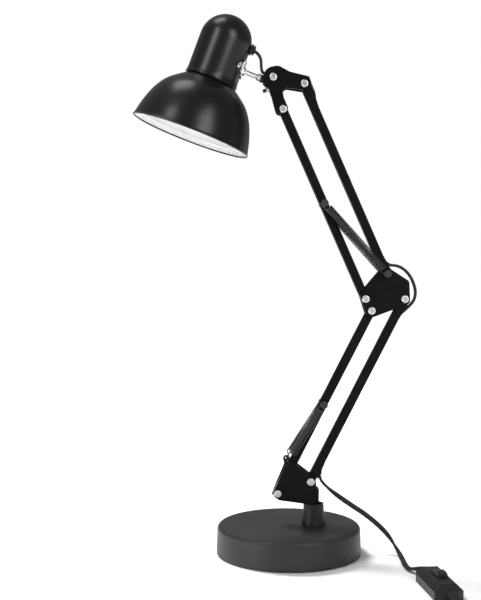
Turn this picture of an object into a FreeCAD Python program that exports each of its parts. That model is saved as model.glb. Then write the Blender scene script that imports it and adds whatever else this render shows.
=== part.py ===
import FreeCAD, Part
import math
import os

from FreeCAD import Placement, Rotation, Vector

# Two-section swing-arm desk lamp on a round weighted base. Millimetres, +Z up.
# Origin: centre of the base's underside. +X points to the elbow's side, -Y to the user.
# Both arm sections are parallelogram linkages that move in the plane y = 0.

# ---------------------------------------------------------------- driving dimensions
# base
BASE_RADIUS = 75.0
BASE_HEIGHT = 30.0
BASE_DRAFT = 0.8            # the cover's top is narrower by this radius
BASE_EDGE = 4.5             # radius of the cover's rounded top edge
COVER_WALL = 1.2
PAD_THICKNESS = 2.0
PLATE_THICKNESS = 1.5
WEIGHT_HEIGHT = 19.0
BASE_SCREW_CIRCLE = 52.0
BASE_SCREW_COUNT = 3

# post socket and post
SWIVEL_X = 26.0
SOCKET_HEIGHT = 22.0
SOCKET_FOOT_RADIUS = 12.3
SOCKET_TOP_RADIUS = 10.5
SOCKET_MOUTH_RADIUS = 8.0
SOCKET_MOUTH_DEPTH = 3.0
SPIGOT_RADIUS = 7.5
SPIGOT_LENGTH = 12.0
POST_RADIUS = 4.0
POST_END = 22.0             # height of the post's lower end

# arms
ARM_LENGTH = 212.5          # pivot to pivot
ARM_SIDE = 9.0
ARM_WALL = 1.0
ARM_CORNER = 1.3
ARM_END = 4.0               # tube past its pivot
SLOT_WIDTH = 6.4
LIP_RISE = 1.6
LIP_SHEET = 0.8
LIP_ROOT = 0.6              # how deep the lips start in the wall
# each slot along its tube: low end, high end, the lips' tall end, their flat end
LOWER_SLOTS = [(6.5, 24.5, 6.0, 24.0), (ARM_LENGTH - 22.0, ARM_LENGTH - 6.5, ARM_LENGTH - 4.0, ARM_LENGTH - 20.0)]
UPPER_SLOTS = [(3.6, 18.6, 1.2, 18.0), (ARM_LENGTH - 27.6, ARM_LENGTH - 11.5, ARM_LENGTH - 11.0, ARM_LENGTH - 26.0)]

# parallelogram links: pivot spacing, and its slope from the horizontal, in degrees
FOOT_PIVOT = (-11.7, 63.3)
LOWER_LINK = 36.3
LOWER_LINK_SLOPE = 19.5
LOWER_LEAN = 27.1           # of the arm from the vertical, towards +X
UPPER_LINK = 33.9
UPPER_LINK_SLOPE = 50.1
UPPER_LEAN = -23.7
ELBOW_SPAN = 40.4           # between the elbow's two level pivots

# brackets
SHEET = 1.5
FOOT_GAP = 14.0             # between the foot bracket's plates
JOINT_GAP = 10.6            # between the elbow's plates, and the head's
PIVOT_RADIUS = 2.0
BUSH_RADIUS = 2.8
FLANGE_RADIUS = 4.2
SCREW_HEAD_RADIUS = 4.1
SCREW_HEAD_HEIGHT = 2.3
NUT_FLATS = 7.0
NUT_HEIGHT = 3.2

# springs
SPRING_Y = 11.6
SPRING_RADIUS = 3.4         # of the wire's centreline
SPRING_WIRE = 0.6           # wire radius
SPRING_CURLS = 25
HOOK_RADIUS = 2.8
HOOK_TURNS = (-150, -90, 0, 90)   # stations of the loop round a pin, in degrees
PIN_REACH = 14.4            # from the swing plane to the pin's end
PIN_HEAD_RADIUS = 3.9
PIN_HEAD = 1.4
SPRING_PIN_LOWER = 104.0    # along the tube from its lower pivot
SPRING_PIN_UPPER = 107.2
EAR = (9.7, 33.7)           # spring hole from the foot pivot
EAR_RADIUS = 3.6
EAR_HOLE = 1.7

# shade, in its own upright frame: opening at z = 0, axis +Z, hinge side +X
SHADE_TILT = 20.5
SHADE_RADIUS = 62.5
SHADE_PROFILE = [(17.0, 58.3), (33.0, 52.1), (45.0, 44.0), (53.0, 34.7), (58.5, 27.0)]
SHADE_WALL = 0.8
RIM_RADIUS = 0.9
NECK_RADIUS = 27.0
NECK_FLARE = 1.0
NECK_BOTTOM = 60.0
DOME_START = 103.0
NECK_WALL = 1.0
HOLDER_SEAT = 67.0          # height of the shade's inner flange
HOLDER_RADIUS = 19.6
HOLDER_BORE = 13.3
HOLDER_MOUTH = 45.0
HOLDER_TOP = 96.0
SHELL_LENGTH = 22.0
SHELL_WALL = 0.4

# hinge side of the shade
STEM_HEIGHT = 80.0
STEM_RADIUS = 3.0
STEM_END = 57.0
SADDLE_WALL = 1.4
SADDLE_RISE = 10.5          # of the saddle's top above the stem
SADDLE_DROP = 9.0           # of its foot below
SADDLE_EARS = 3.0           # of its two screws above
GLAND_HEIGHT = 104.0
GLAND_RADIUS = 6.0
GLAND_REACH = 32.0
TILT_PIVOT = (59.1, STEM_HEIGHT + 4.7)   # in the shade's frame
BLOCK_RADIUS = 6.3
BARREL_RADIUS = 4.0
BARREL_START = 47.0
BARREL_END = 54.0
HEAD_TILT_PIVOT = (-10.1, 32.6)   # the same axis, from the head's lower pivot

# clamp screw, from the head's lower pivot, and its slope
CLAMP_AT = (-15.2, 20.9)
CLAMP_SLOPE = 19.3
CLAMP_RADIUS = 1.5

# flat twin cord
CORD_THICK = 3.0
CORD_WIDE = 5.6
TUBE_RADIUS = 2.3           # round section that stands for the free cord
CORD_LIFT = 0.1             # above the desk

# clearances
RUNNING = 0.05              # radial, shaft in bearing
SEAT = 0.02                 # radial, fixed pin in its hole
SIDE = 0.1                  # beside a moving face
OPEN_PIVOT = 0.08           # radial, at each linkage's fourth pivot


# ---------------------------------------------------------------- small geometry helpers
def flat(x, z, y=0.0):
    """A point given in the swing plane."""
    return Vector(x, y, z)


def along(start, slope, distance):
    """The point at a distance from start, in a direction that slopes up from +X."""
    angle = math.radians(slope)
    return (start[0] + distance * math.cos(angle), start[1] + distance * math.sin(angle))


def wire_through(points):
    """Closed wire with rounded corners; each point is (x, z, corner radius)."""
    corners = []
    count = len(points)
    for index, (x, z, radius) in enumerate(points):
        here = flat(x, z)
        before = flat(*points[index - 1][:2])
        after = flat(*points[(index + 1) % count][:2])
        into, out = (here - before).normalize(), (after - here).normalize()
        turn = into.getAngle(out)
        if radius <= 0 or turn < 1e-6:
            corners.append((here, None, here))
            continue
        trim = radius * math.tan(turn / 2)
        start, end = here - into * trim, here + out * trim
        inward = (out - into).normalize()
        middle = here + inward * (radius / math.cos(turn / 2) - radius)
        corners.append((start, middle, end))
    edges = []
    for index, (start, middle, end) in enumerate(corners):
        if middle is not None:
            edges.append(Part.Arc(start, middle, end).toShape())
        following = corners[(index + 1) % count][0]
        if end.distanceToPoint(following) > 1e-6:
            edges.append(Part.LineSegment(end, following).toShape())
    return Part.Wire(edges)


def sheet(points, y_low, y_high):
    """A flat plate in the swing plane, from y_low to y_high."""
    face = Part.Face(wire_through(points))
    face.translate(Vector(0, y_low, 0))
    return face.extrude(Vector(0, y_high - y_low, 0))


def rod_y(centre, radius, y_low, y_high):
    """A cylinder across the swing plane."""
    return Part.makeCylinder(radius, y_high - y_low, flat(*centre, y_low), Vector(0, 1, 0))


def hex_y(centre, flats, y_low, y_high, hole):
    """A nut across the swing plane."""
    corner = flats / math.sqrt(3)
    points = [along(centre, 60 * step, corner) + (0.0,) for step in range(6)]
    return sheet(points, y_low, y_high).cut(rod_y(centre, hole, y_low, y_high))


def lathe(points):
    """A solid of revolution about +Z from (radius, height) points."""
    corners = [Vector(radius, 0, height) for radius, height in points]
    face = Part.Face(Part.makePolygon(corners + corners[:1]))
    return face.revolve(Vector(0, 0, 0), Vector(0, 0, 1), 360)


def moved(shape, pivot, lean):
    """A shape built upright at the origin, leant by an angle towards +X and set on a pivot."""
    turned = shape.copy()
    turned.Placement = Placement(flat(*pivot), Rotation(Vector(0, 1, 0), lean))
    return turned


def export(name, *solids):
    """One STEP file for one named piece, or for a group of like pieces."""
    shape = solids[0] if len(solids) == 1 else Part.makeCompound(list(solids))
    for solid in shape.Solids:
        if not solid.isValid():
            print("not valid:", name)
    shape.exportStep(os.path.join("parts", name + ".step"))


# ---------------------------------------------------------------- places that follow from the sizes
def arm_tip(pivot, lean):
    return along(pivot, 90 - lean, ARM_LENGTH)


G = FOOT_PIVOT                                       # lower arm, left tube, at the foot
H = along(G, LOWER_LINK_SLOPE, LOWER_LINK)           # lower arm, right tube, at the foot
B = arm_tip(G, LOWER_LEAN)                           # the same tubes at the elbow
C = arm_tip(H, LOWER_LEAN)
A = (C[0] - ELBOW_SPAN, C[1])                        # upper arm, left tube, at the elbow
D = along(A, UPPER_LINK_SLOPE, UPPER_LINK)           # upper arm, right tube, at the elbow
E = arm_tip(A, UPPER_LEAN)                           # the same tubes at the head
F = arm_tip(D, UPPER_LEAN)
TILT = (E[0] + HEAD_TILT_PIVOT[0], E[1] + HEAD_TILT_PIVOT[1])
SHADE_AXIS_SLOPE = 90 - SHADE_TILT
SHADE_FOOT = along(along(TILT, -SHADE_TILT, -TILT_PIVOT[0]), SHADE_AXIS_SLOPE, -TILT_PIVOT[1])
POST_TOP = H[1] - 7.6
SOCKET_TOP = BASE_HEIGHT + SOCKET_HEIGHT
FOOT_Y = FOOT_GAP / 2
JOINT_Y = JOINT_GAP / 2
HALF = ARM_SIDE / 2


def in_shade(x, z):
    """A point of the shade's own frame, in the swing plane."""
    return along(along(SHADE_FOOT, -SHADE_TILT, x), SHADE_AXIS_SLOPE, z)


def on_arm(pivot, lean, across, distance):
    """A point of an arm tube's own frame: across to its right side, and along it."""
    return along(along(pivot, -lean, across), 90 - lean, distance)


# ---------------------------------------------------------------- base
def base():
    side = BASE_RADIUS - BASE_DRAFT
    outer = Part.makeCone(BASE_RADIUS, side, BASE_HEIGHT - PAD_THICKNESS / 2, Vector(0, 0, PAD_THICKNESS / 2))
    top_edges = [edge for edge in outer.Edges if edge.BoundBox.ZMin > BASE_HEIGHT - 0.01]
    outer = outer.makeFillet(BASE_EDGE, top_edges)
    inner = Part.makeCone(BASE_RADIUS - COVER_WALL, side - COVER_WALL, BASE_HEIGHT - COVER_WALL)
    inner_edges = [edge for edge in inner.Edges if edge.BoundBox.ZMin > BASE_HEIGHT - COVER_WALL - 0.01]
    inner = inner.makeFillet(BASE_EDGE - COVER_WALL, inner_edges)
    hole = Part.makeCylinder(SPIGOT_RADIUS + SEAT, BASE_HEIGHT, Vector(SWIVEL_X, 0, 1))
    export("base_cover", outer.cut(inner).cut(hole))

    plate_radius = BASE_RADIUS - COVER_WALL - 0.6
    plate_top = PAD_THICKNESS + PLATE_THICKNESS
    screws, holes, sinks = [], [], []
    for step in range(BASE_SCREW_COUNT):
        angle = math.radians(360 / BASE_SCREW_COUNT * step + 60)
        x, y = BASE_SCREW_CIRCLE * math.cos(angle), BASE_SCREW_CIRCLE * math.sin(angle)
        shank = Part.makeCylinder(2.0, 11.0, Vector(x, y, PAD_THICKNESS - 0.1))
        head = Part.makeCylinder(3.6, 1.4, Vector(x, y, PAD_THICKNESS - 1.4))
        slot = Part.makeBox(6.0, 0.9, 0.7, Vector(x - 3.0, y - 0.45, PAD_THICKNESS - 1.41))
        screws.append(head.fuse(shank).cut(slot))
        holes.append(Part.makeCylinder(2.0 + SEAT, 12.5, Vector(x, y, PAD_THICKNESS - 0.2)))
        sinks.append(Part.makeCylinder(4.2, PAD_THICKNESS, Vector(x, y, 0)))
    pocket = Part.makeCylinder(SPIGOT_RADIUS + 5.5, WEIGHT_HEIGHT, Vector(SWIVEL_X, 0, plate_top))
    weight = Part.makeCylinder(plate_radius - 3.0, WEIGHT_HEIGHT, Vector(0, 0, plate_top))
    export("base_weight", weight.cut(pocket).cut(Part.makeCompound(holes)))
    plate = Part.makeCylinder(plate_radius, PLATE_THICKNESS, Vector(0, 0, PAD_THICKNESS))
    export("base_plate", plate.cut(Part.makeCompound(holes)))
    pad = Part.makeCylinder(plate_radius - 0.6, PAD_THICKNESS)
    export("base_pad", pad.cut(Part.makeCompound(sinks)))
    export("base_screws", *screws)

    bore = POST_RADIUS + RUNNING
    foot = BASE_HEIGHT - SPIGOT_LENGTH
    socket = lathe([(bore, foot), (SPIGOT_RADIUS, foot), (SPIGOT_RADIUS, BASE_HEIGHT),
                    (SOCKET_FOOT_RADIUS, BASE_HEIGHT), (SOCKET_FOOT_RADIUS, BASE_HEIGHT + 1.5),
                    (SOCKET_TOP_RADIUS, SOCKET_TOP - 0.6), (SOCKET_TOP_RADIUS - 0.6, SOCKET_TOP),
                    (SOCKET_MOUTH_RADIUS, SOCKET_TOP), (SOCKET_MOUTH_RADIUS, SOCKET_TOP - SOCKET_MOUTH_DEPTH),
                    (bore, SOCKET_TOP - SOCKET_MOUTH_DEPTH - 2.0)])
    socket.translate(Vector(SWIVEL_X, 0, 0))
    export("post_socket", socket)
    nut_top = BASE_HEIGHT - COVER_WALL
    corner = SPIGOT_RADIUS + 4.5
    points = [Vector(SWIVEL_X + corner * math.cos(math.radians(60 * k)), corner * math.sin(math.radians(60 * k)),
                     nut_top - 6.0) for k in range(7)]
    nut = Part.Face(Part.makePolygon(points)).extrude(Vector(0, 0, 6.0))
    spigot = Part.makeCylinder(SPIGOT_RADIUS + SEAT, 10.0, Vector(SWIVEL_X, 0, nut_top - 8.0))
    export("socket_nut", nut.cut(spigot))


# ---------------------------------------------------------------- fasteners
def pivot_screw(centre, gap_y):
    """Cross-recessed pan-head screw, head in front, and its nut behind."""
    front = -(gap_y + SHEET)
    head = rod_y(centre, SCREW_HEAD_RADIUS, front - SCREW_HEAD_HEIGHT, front)
    rim = [edge for edge in head.Edges if edge.BoundBox.YMax < front - SCREW_HEAD_HEIGHT + 0.01]
    head = head.makeFillet(SCREW_HEAD_HEIGHT * 0.6, rim)
    length = gap_y + SHEET + NUT_HEIGHT + 1.0
    screw = head.fuse(rod_y(centre, PIVOT_RADIUS, front - 0.1, length))
    for slope in (25, 115):
        bar = Part.makeBox(4.4, 1.6, 0.9, Vector(-2.2, 0, -0.45))
        bar.Placement = Placement(flat(*centre, front - SCREW_HEAD_HEIGHT - 0.1), Rotation(Vector(0, 1, 0), slope))
        screw = screw.cut(bar)
    rear = gap_y + SHEET
    return screw, hex_y(centre, NUT_FLATS, rear, rear + NUT_HEIGHT, PIVOT_RADIUS + SEAT)


def bush(distance, gap_y, bore):
    """Flanged plastic bush through a tube, in the tube's own frame; it fills the plates' gap."""
    face = gap_y - SIDE
    body = rod_y((0, distance), BUSH_RADIUS, -face, face)
    for low, high in ((-face, -HALF), (HALF, face)):
        body = body.fuse(rod_y((0, distance), FLANGE_RADIUS, low, high))
    return body.cut(rod_y((0, distance), PIVOT_RADIUS + bore, -face, face))


def plate_pair(name, points, gap_y, holes, extra=None):
    """Front and rear plates of one bracket, with their holes drilled."""
    for side, low in (("front", -gap_y - SHEET), ("rear", gap_y)):
        plate = sheet(points, low, low + SHEET)
        if extra is not None:
            plate = plate.fuse(extra(low)).removeSplitter()
        for centre, radius in holes:
            plate = plate.cut(rod_y(centre, radius, low, low + SHEET))
        export("%s_%s_plate" % (name, side), plate)


# ---------------------------------------------------------------- foot bracket
def foot_bracket():
    ear = (G[0] + EAR[0], G[1] + EAR[1])
    tongue_right = SWIVEL_X + 1.0
    points = [(G[0] - 5.6, G[1] - 2.0, 4.6), (G[0] + 1.5, G[1] - 6.8, 4.0), (G[0] + 26.9, SOCKET_TOP + 0.9, 0),
              (tongue_right, SOCKET_TOP + 0.5, 1.0), (tongue_right + 1.2, H[1] - 3.0, 2.0),
              (H[0] + 4.6, H[1] + 3.4, 3.0), (ear[0] + 4.9, ear[1] + 0.2, 2.0), (ear[0] - 1.9, ear[1] - 3.6, 1.5)]

    def ear_disc(low):
        return rod_y(ear, EAR_RADIUS, low, low + SHEET)

    holes = [(G, PIVOT_RADIUS + SEAT), (H, PIVOT_RADIUS + SEAT), (ear, EAR_HOLE)]
    plate_pair("foot", points, FOOT_Y, holes, ear_disc)

    block_low, block_high = SOCKET_TOP + 1.3, POST_TOP
    block = Part.makeBox(13.0, FOOT_GAP, block_high - block_low, Vector(SWIVEL_X - 8.0, -FOOT_Y, block_low))
    post = Part.makeCylinder(POST_RADIUS, block_high - POST_END, Vector(SWIVEL_X, 0, POST_END))
    export("swivel_post", block.fuse(post).removeSplitter())
    pairs = [pivot_screw(G, FOOT_Y), pivot_screw(H, FOOT_Y)]
    export("foot_screws", *[screw for screw, nut in pairs])
    export("foot_nuts", *[nut for screw, nut in pairs])
    return ear


# ---------------------------------------------------------------- arm tubes
def square_tube():
    """Open square tube in its own frame, lower pivot at the origin."""
    def bar(half, corner):
        points = [Vector(-half, -half, 0), Vector(half, -half, 0), Vector(half, half, 0), Vector(-half, half, 0)]
        solid = Part.Face(Part.makePolygon(points + points[:1])).extrude(Vector(0, 0, ARM_LENGTH + 2 * ARM_END))
        edges = [edge for edge in solid.Edges if edge.Length > ARM_LENGTH]
        return solid.makeFillet(corner, edges)
    tube = bar(HALF, ARM_CORNER).cut(bar(HALF - ARM_WALL, ARM_CORNER - ARM_WALL * 0.7))
    tube.translate(Vector(0, 0, -ARM_END))
    return tube


def cord_slot(low, high, tall, short):
    """Oblong hole in the tube's right face, and the two bent lips beside it."""
    hole = Part.makeBox(3.0, SLOT_WIDTH, high - low, Vector(HALF - ARM_WALL - 1.0, -SLOT_WIDTH / 2, low))
    root = HALF - LIP_ROOT
    lips = []
    for y in (-SLOT_WIDTH / 2 - LIP_SHEET, SLOT_WIDTH / 2):
        wedge = [Vector(root, y, short), Vector(HALF, y, short), Vector(HALF + LIP_RISE, y, tall),
                 Vector(root, y, tall)]
        lips.append(Part.Face(Part.makePolygon(wedge + wedge[:1])).extrude(Vector(0, LIP_SHEET, 0)))
    return hole, lips


def arm(name, pivot, lean, gaps, bores, pin=None, slots=()):
    """A tube with its two bushes, and either a spring pin or cord slots."""
    tube = square_tube()
    for distance in (0.0, ARM_LENGTH):
        tube = tube.cut(rod_y((0, distance), BUSH_RADIUS + SEAT, -HALF, HALF))
    if pin is not None:
        tube = tube.cut(rod_y((0, pin), PIVOT_RADIUS + SEAT, -HALF, HALF))
        export(name + "_spring_pin", moved(headed_pin(pin), pivot, lean))
    for slot in slots:
        hole, lips = cord_slot(*slot)
        tube = tube.cut(hole)
        for lip in lips:
            tube = tube.fuse(lip)
    export(name + "_tube", moved(tube, pivot, lean))
    bushes = [bush(0.0, gaps[0], bores[0]), bush(ARM_LENGTH, gaps[1], bores[1])]
    export(name + "_bushes", *[moved(piece, pivot, lean) for piece in bushes])


def headed_pin(distance):
    """Pin across a tube that carries a spring loop at each end, in the tube's frame."""
    pin = rod_y((0, distance), PIVOT_RADIUS, -PIN_REACH, PIN_REACH)
    for low in (-PIN_REACH, PIN_REACH - PIN_HEAD):
        pin = pin.fuse(rod_y((0, distance), PIN_HEAD_RADIUS, low, low + PIN_HEAD))
    return pin


# ---------------------------------------------------------------- elbow
def elbow():
    points = [(A[0] - 6.4, A[1] + 4.5, 3.0), (D[0] - 4.4, D[1] + 6.6, 4.0), (D[0] + 2.4, D[1] + 5.8, 3.0),
              (C[0] + 4.3, C[1] + 18.4, 4.0), (C[0] + 5.6, C[1] - 4.6, 5.0), (B[0] + 1.6, B[1] - 6.6, 3.0),
              (B[0] - 5.0, B[1] - 6.2, 4.0)]
    holes = [(centre, PIVOT_RADIUS + SEAT) for centre in (A, B, C, D)]
    plate_pair("elbow", points, JOINT_Y, holes)
    pairs = [pivot_screw(centre, JOINT_Y) for centre in (A, B, C)]
    export("elbow_screws", *[screw for screw, nut in pairs])
    export("elbow_nuts", *[nut for screw, nut in pairs])
    export("elbow_spring_pin", moved(headed_pin(0.0), D, 0.0))


# ---------------------------------------------------------------- springs
def smooth_path(nodes):
    """Wire of tangent-continuous arc pairs through (point, direction) nodes."""
    edges = []
    for (start, into), (end, out) in zip(nodes, nodes[1:]):
        span = end - start
        if span.cross(into).Length < 1e-7 and into.dot(out) > 1 - 1e-9:
            edges.append(Part.LineSegment(start, end).toShape())
            continue
        total = into + out
        square = 2 * (1 - into.dot(out))
        mixed = span.dot(total)
        reach = (-mixed + math.sqrt(mixed * mixed + square * span.dot(span))) / square if square > 1e-9 \
            else span.dot(span) / (4 * span.dot(into))
        first, last = start + into * reach, end - out * reach
        joint = (first + last) * 0.5
        for begin, corner, finish in ((start, first, joint), (joint, last, end)):
            chord_middle = (begin + finish) * 0.5
            half_turn = (corner - begin).getAngle(finish - corner) / 2
            if half_turn < 1e-5:
                edges.append(Part.LineSegment(begin, finish).toShape())
                continue
            sagitta = (finish - begin).Length / 2 * math.tan(half_turn / 2)
            middle = chord_middle + (corner - chord_middle).normalize() * sagitta
            edges.append(Part.Arc(begin, middle, finish).toShape())
    return Part.Wire(edges)


def round_tube(nodes, radius):
    """A wire of one round section along tangent-continuous nodes."""
    path = smooth_path(nodes)
    ring = Part.Wire(Part.makeCircle(radius, nodes[0][0], nodes[0][1]))
    return path.makePipeShell([ring], True, False), path


def least_gap(path, radius, skip):
    """Least distance between stretches of one tube further apart than skip along it."""
    points = path.discretize(Distance=radius)
    step = path.Length / (len(points) - 1)
    apart = int(skip / step) + 1
    least = min(points[i].distanceToPoint(points[j])
                for i in range(0, len(points), 2) for j in range(i + apart, len(points), 2))
    return least - 2 * radius


def spring(start, end, y, end_loop):
    """Tension spring from a loop round the pin at start to a loop or a hook at end."""
    axial = flat(*end) - flat(*start)
    length = axial.Length
    axial.normalize()
    side = Vector(0, 1, 0).cross(axial)
    outward = Vector(0, 1, 0) if y > 0 else Vector(0, -1, 0)

    def place(u, v, w):
        return flat(*start, y) + axial * u + side * v + outward * w

    def turn(u, v, w):
        return (axial * u + side * v + outward * w).normalize()

    lead = HOOK_RADIUS + 3.4
    tail = lead if end_loop else 9.0
    pitch = (length - lead - tail) / SPRING_CURLS
    nodes = []
    for t in map(math.radians, HOOK_TURNS):
        nodes.append((place(-HOOK_RADIUS * math.cos(t), HOOK_RADIUS * math.sin(t), 0),
                      turn(math.sin(t), math.cos(t), 0)))
    nodes.append((place(1.0, HOOK_RADIUS, 0), turn(1, 0, 0)))
    slope = pitch / (2 * math.pi * SPRING_RADIUS)
    for step in range(4 * SPRING_CURLS + 1):
        angle = math.pi / 2 * step
        point = place(lead + pitch * step / 4, SPRING_RADIUS * math.cos(angle), SPRING_RADIUS * math.sin(angle))
        nodes.append((point, turn(slope, -math.sin(angle), math.cos(angle))))
    if end_loop:
        nodes.append((place(length - 1.0, HOOK_RADIUS, 0), turn(1, 0, 0)))
        for t in map(math.radians, reversed(HOOK_TURNS)):
            nodes.append((place(length + HOOK_RADIUS * math.cos(t), HOOK_RADIUS * math.sin(t), 0),
                          turn(math.sin(t), -math.cos(t), 0)))
    else:
        plate_w = FOOT_Y + SHEET / 2 - abs(y)
        hook = 2.4
        nodes.append((place(length - hook - 2.0, 0, plate_w + hook), turn(1, 0, 0)))
        nodes.append((place(length - hook, 0, plate_w + hook), turn(1, 0, 0)))
        nodes.append((place(length, 0, plate_w), turn(0, 0, -1)))
        nodes.append((place(length - hook, 0, plate_w - hook), turn(-1, 0, 0)))
        nodes.append((place(length - hook - 1.2, 0, plate_w - hook), turn(-1, 0, 0)))
    tube, path = round_tube(nodes, SPRING_WIRE)
    print("spring: length %.1f mm, pitch %.2f mm, least gap %.2f mm, volume %.1f of %.1f mm3" % (
        length, pitch, least_gap(path, SPRING_WIRE, 2.5 * SPRING_RADIUS), tube.Volume,
        math.pi * SPRING_WIRE ** 2 * path.Length))
    return tube


def springs(ear):
    lower_pin = on_arm(G, LOWER_LEAN, 0, SPRING_PIN_LOWER)
    upper_pin = on_arm(A, UPPER_LEAN, 0, SPRING_PIN_UPPER)
    export("lower_springs", *[spring(lower_pin, ear, y, False) for y in (-SPRING_Y, SPRING_Y)])
    export("upper_springs", *[spring(upper_pin, D, y, True) for y in (-SPRING_Y, SPRING_Y)])


# ---------------------------------------------------------------- head bracket
def head_bracket():
    def near(dx, dz, radius=0.0):
        return (E[0] + dx, E[1] + dz, radius)

    points = [near(-20.6, 27.2, 1.5), near(-20.6, 41.5, 11.5), near(-5.0, 44.6, 9.0), near(6.6, 38.2, 6.0),
              (F[0] + 4.8, F[1] + 7.4, 1.5), (F[0] + 8.0, F[1] - 0.5, 4.0), (F[0] + 1.0, F[1] - 7.2, 4.0),
              near(-1.2, 22.6, 4.5), near(0.6, 12.0, 3.0), near(5.4, 1.0, 4.5), near(2.0, -6.6, 4.5),
              near(-6.8, -4.0, 5.0), near(-12.9, 18.7, 3.0)]
    holes = [(centre, PIVOT_RADIUS + SEAT) for centre in (E, F, TILT)]
    plate_pair("head", points, JOINT_Y, holes)
    pairs = [pivot_screw(centre, JOINT_Y) for centre in (E, F, TILT)]
    export("head_screws", *[screw for screw, nut in pairs])

    clamp = (E[0] + CLAMP_AT[0], E[1] + CLAMP_AT[1])

    def upright(shape):
        """Built along +X at the origin, laid on the clamp screw's axis."""
        shape.Placement = Placement(flat(*clamp), Rotation(Vector(0, 1, 0), -CLAMP_SLOPE))
        return shape

    plate = Part.makeBox(2.5, JOINT_GAP, 9.0, Vector(0.7, -JOINT_Y, -6.8))
    plate = plate.cut(Part.makeCylinder(CLAMP_RADIUS + RUNNING, 4.0, Vector(0, 0, 0), Vector(1, 0, 0)))
    export("clamp_plate", upright(plate))
    corner = 5.5 / math.sqrt(3)
    ring = [Vector(-1.7, corner * math.cos(math.radians(60 * k)), corner * math.sin(math.radians(60 * k)))
            for k in range(7)]
    nut = Part.Face(Part.makePolygon(ring)).extrude(Vector(2.3, 0, 0))
    nut = nut.cut(Part.makeCylinder(CLAMP_RADIUS + RUNNING, 4.0, Vector(-2, 0, 0), Vector(1, 0, 0)))
    export("head_nuts", *([nut for screw, nut in pairs] + [upright(nut)]))
    screw = Part.makeCylinder(CLAMP_RADIUS, 12.0, Vector(-5.0, 0, 0), Vector(1, 0, 0))
    export("clamp_screw", upright(screw))
    cap = Part.makeCylinder(1.9, 3.4, Vector(-5.6, 0, 0), Vector(1, 0, 0))
    cap = cap.cut(Part.makeCylinder(CLAMP_RADIUS + SEAT, 3.0, Vector(-5.0, 0, 0), Vector(1, 0, 0)))
    export("clamp_cap", upright(cap))


# ---------------------------------------------------------------- shade and its hinge, in the shade's frame
def put(shape):
    return moved(shape, SHADE_FOOT, SHADE_TILT)


def profile_arcs(points, offset):
    """The bell's profile as arcs through its points, moved inwards by offset."""
    curve = Part.BSplineCurve()
    curve.interpolate([Vector(radius - offset, 0, height) for height, radius in points])
    return curve.toShape()


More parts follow.
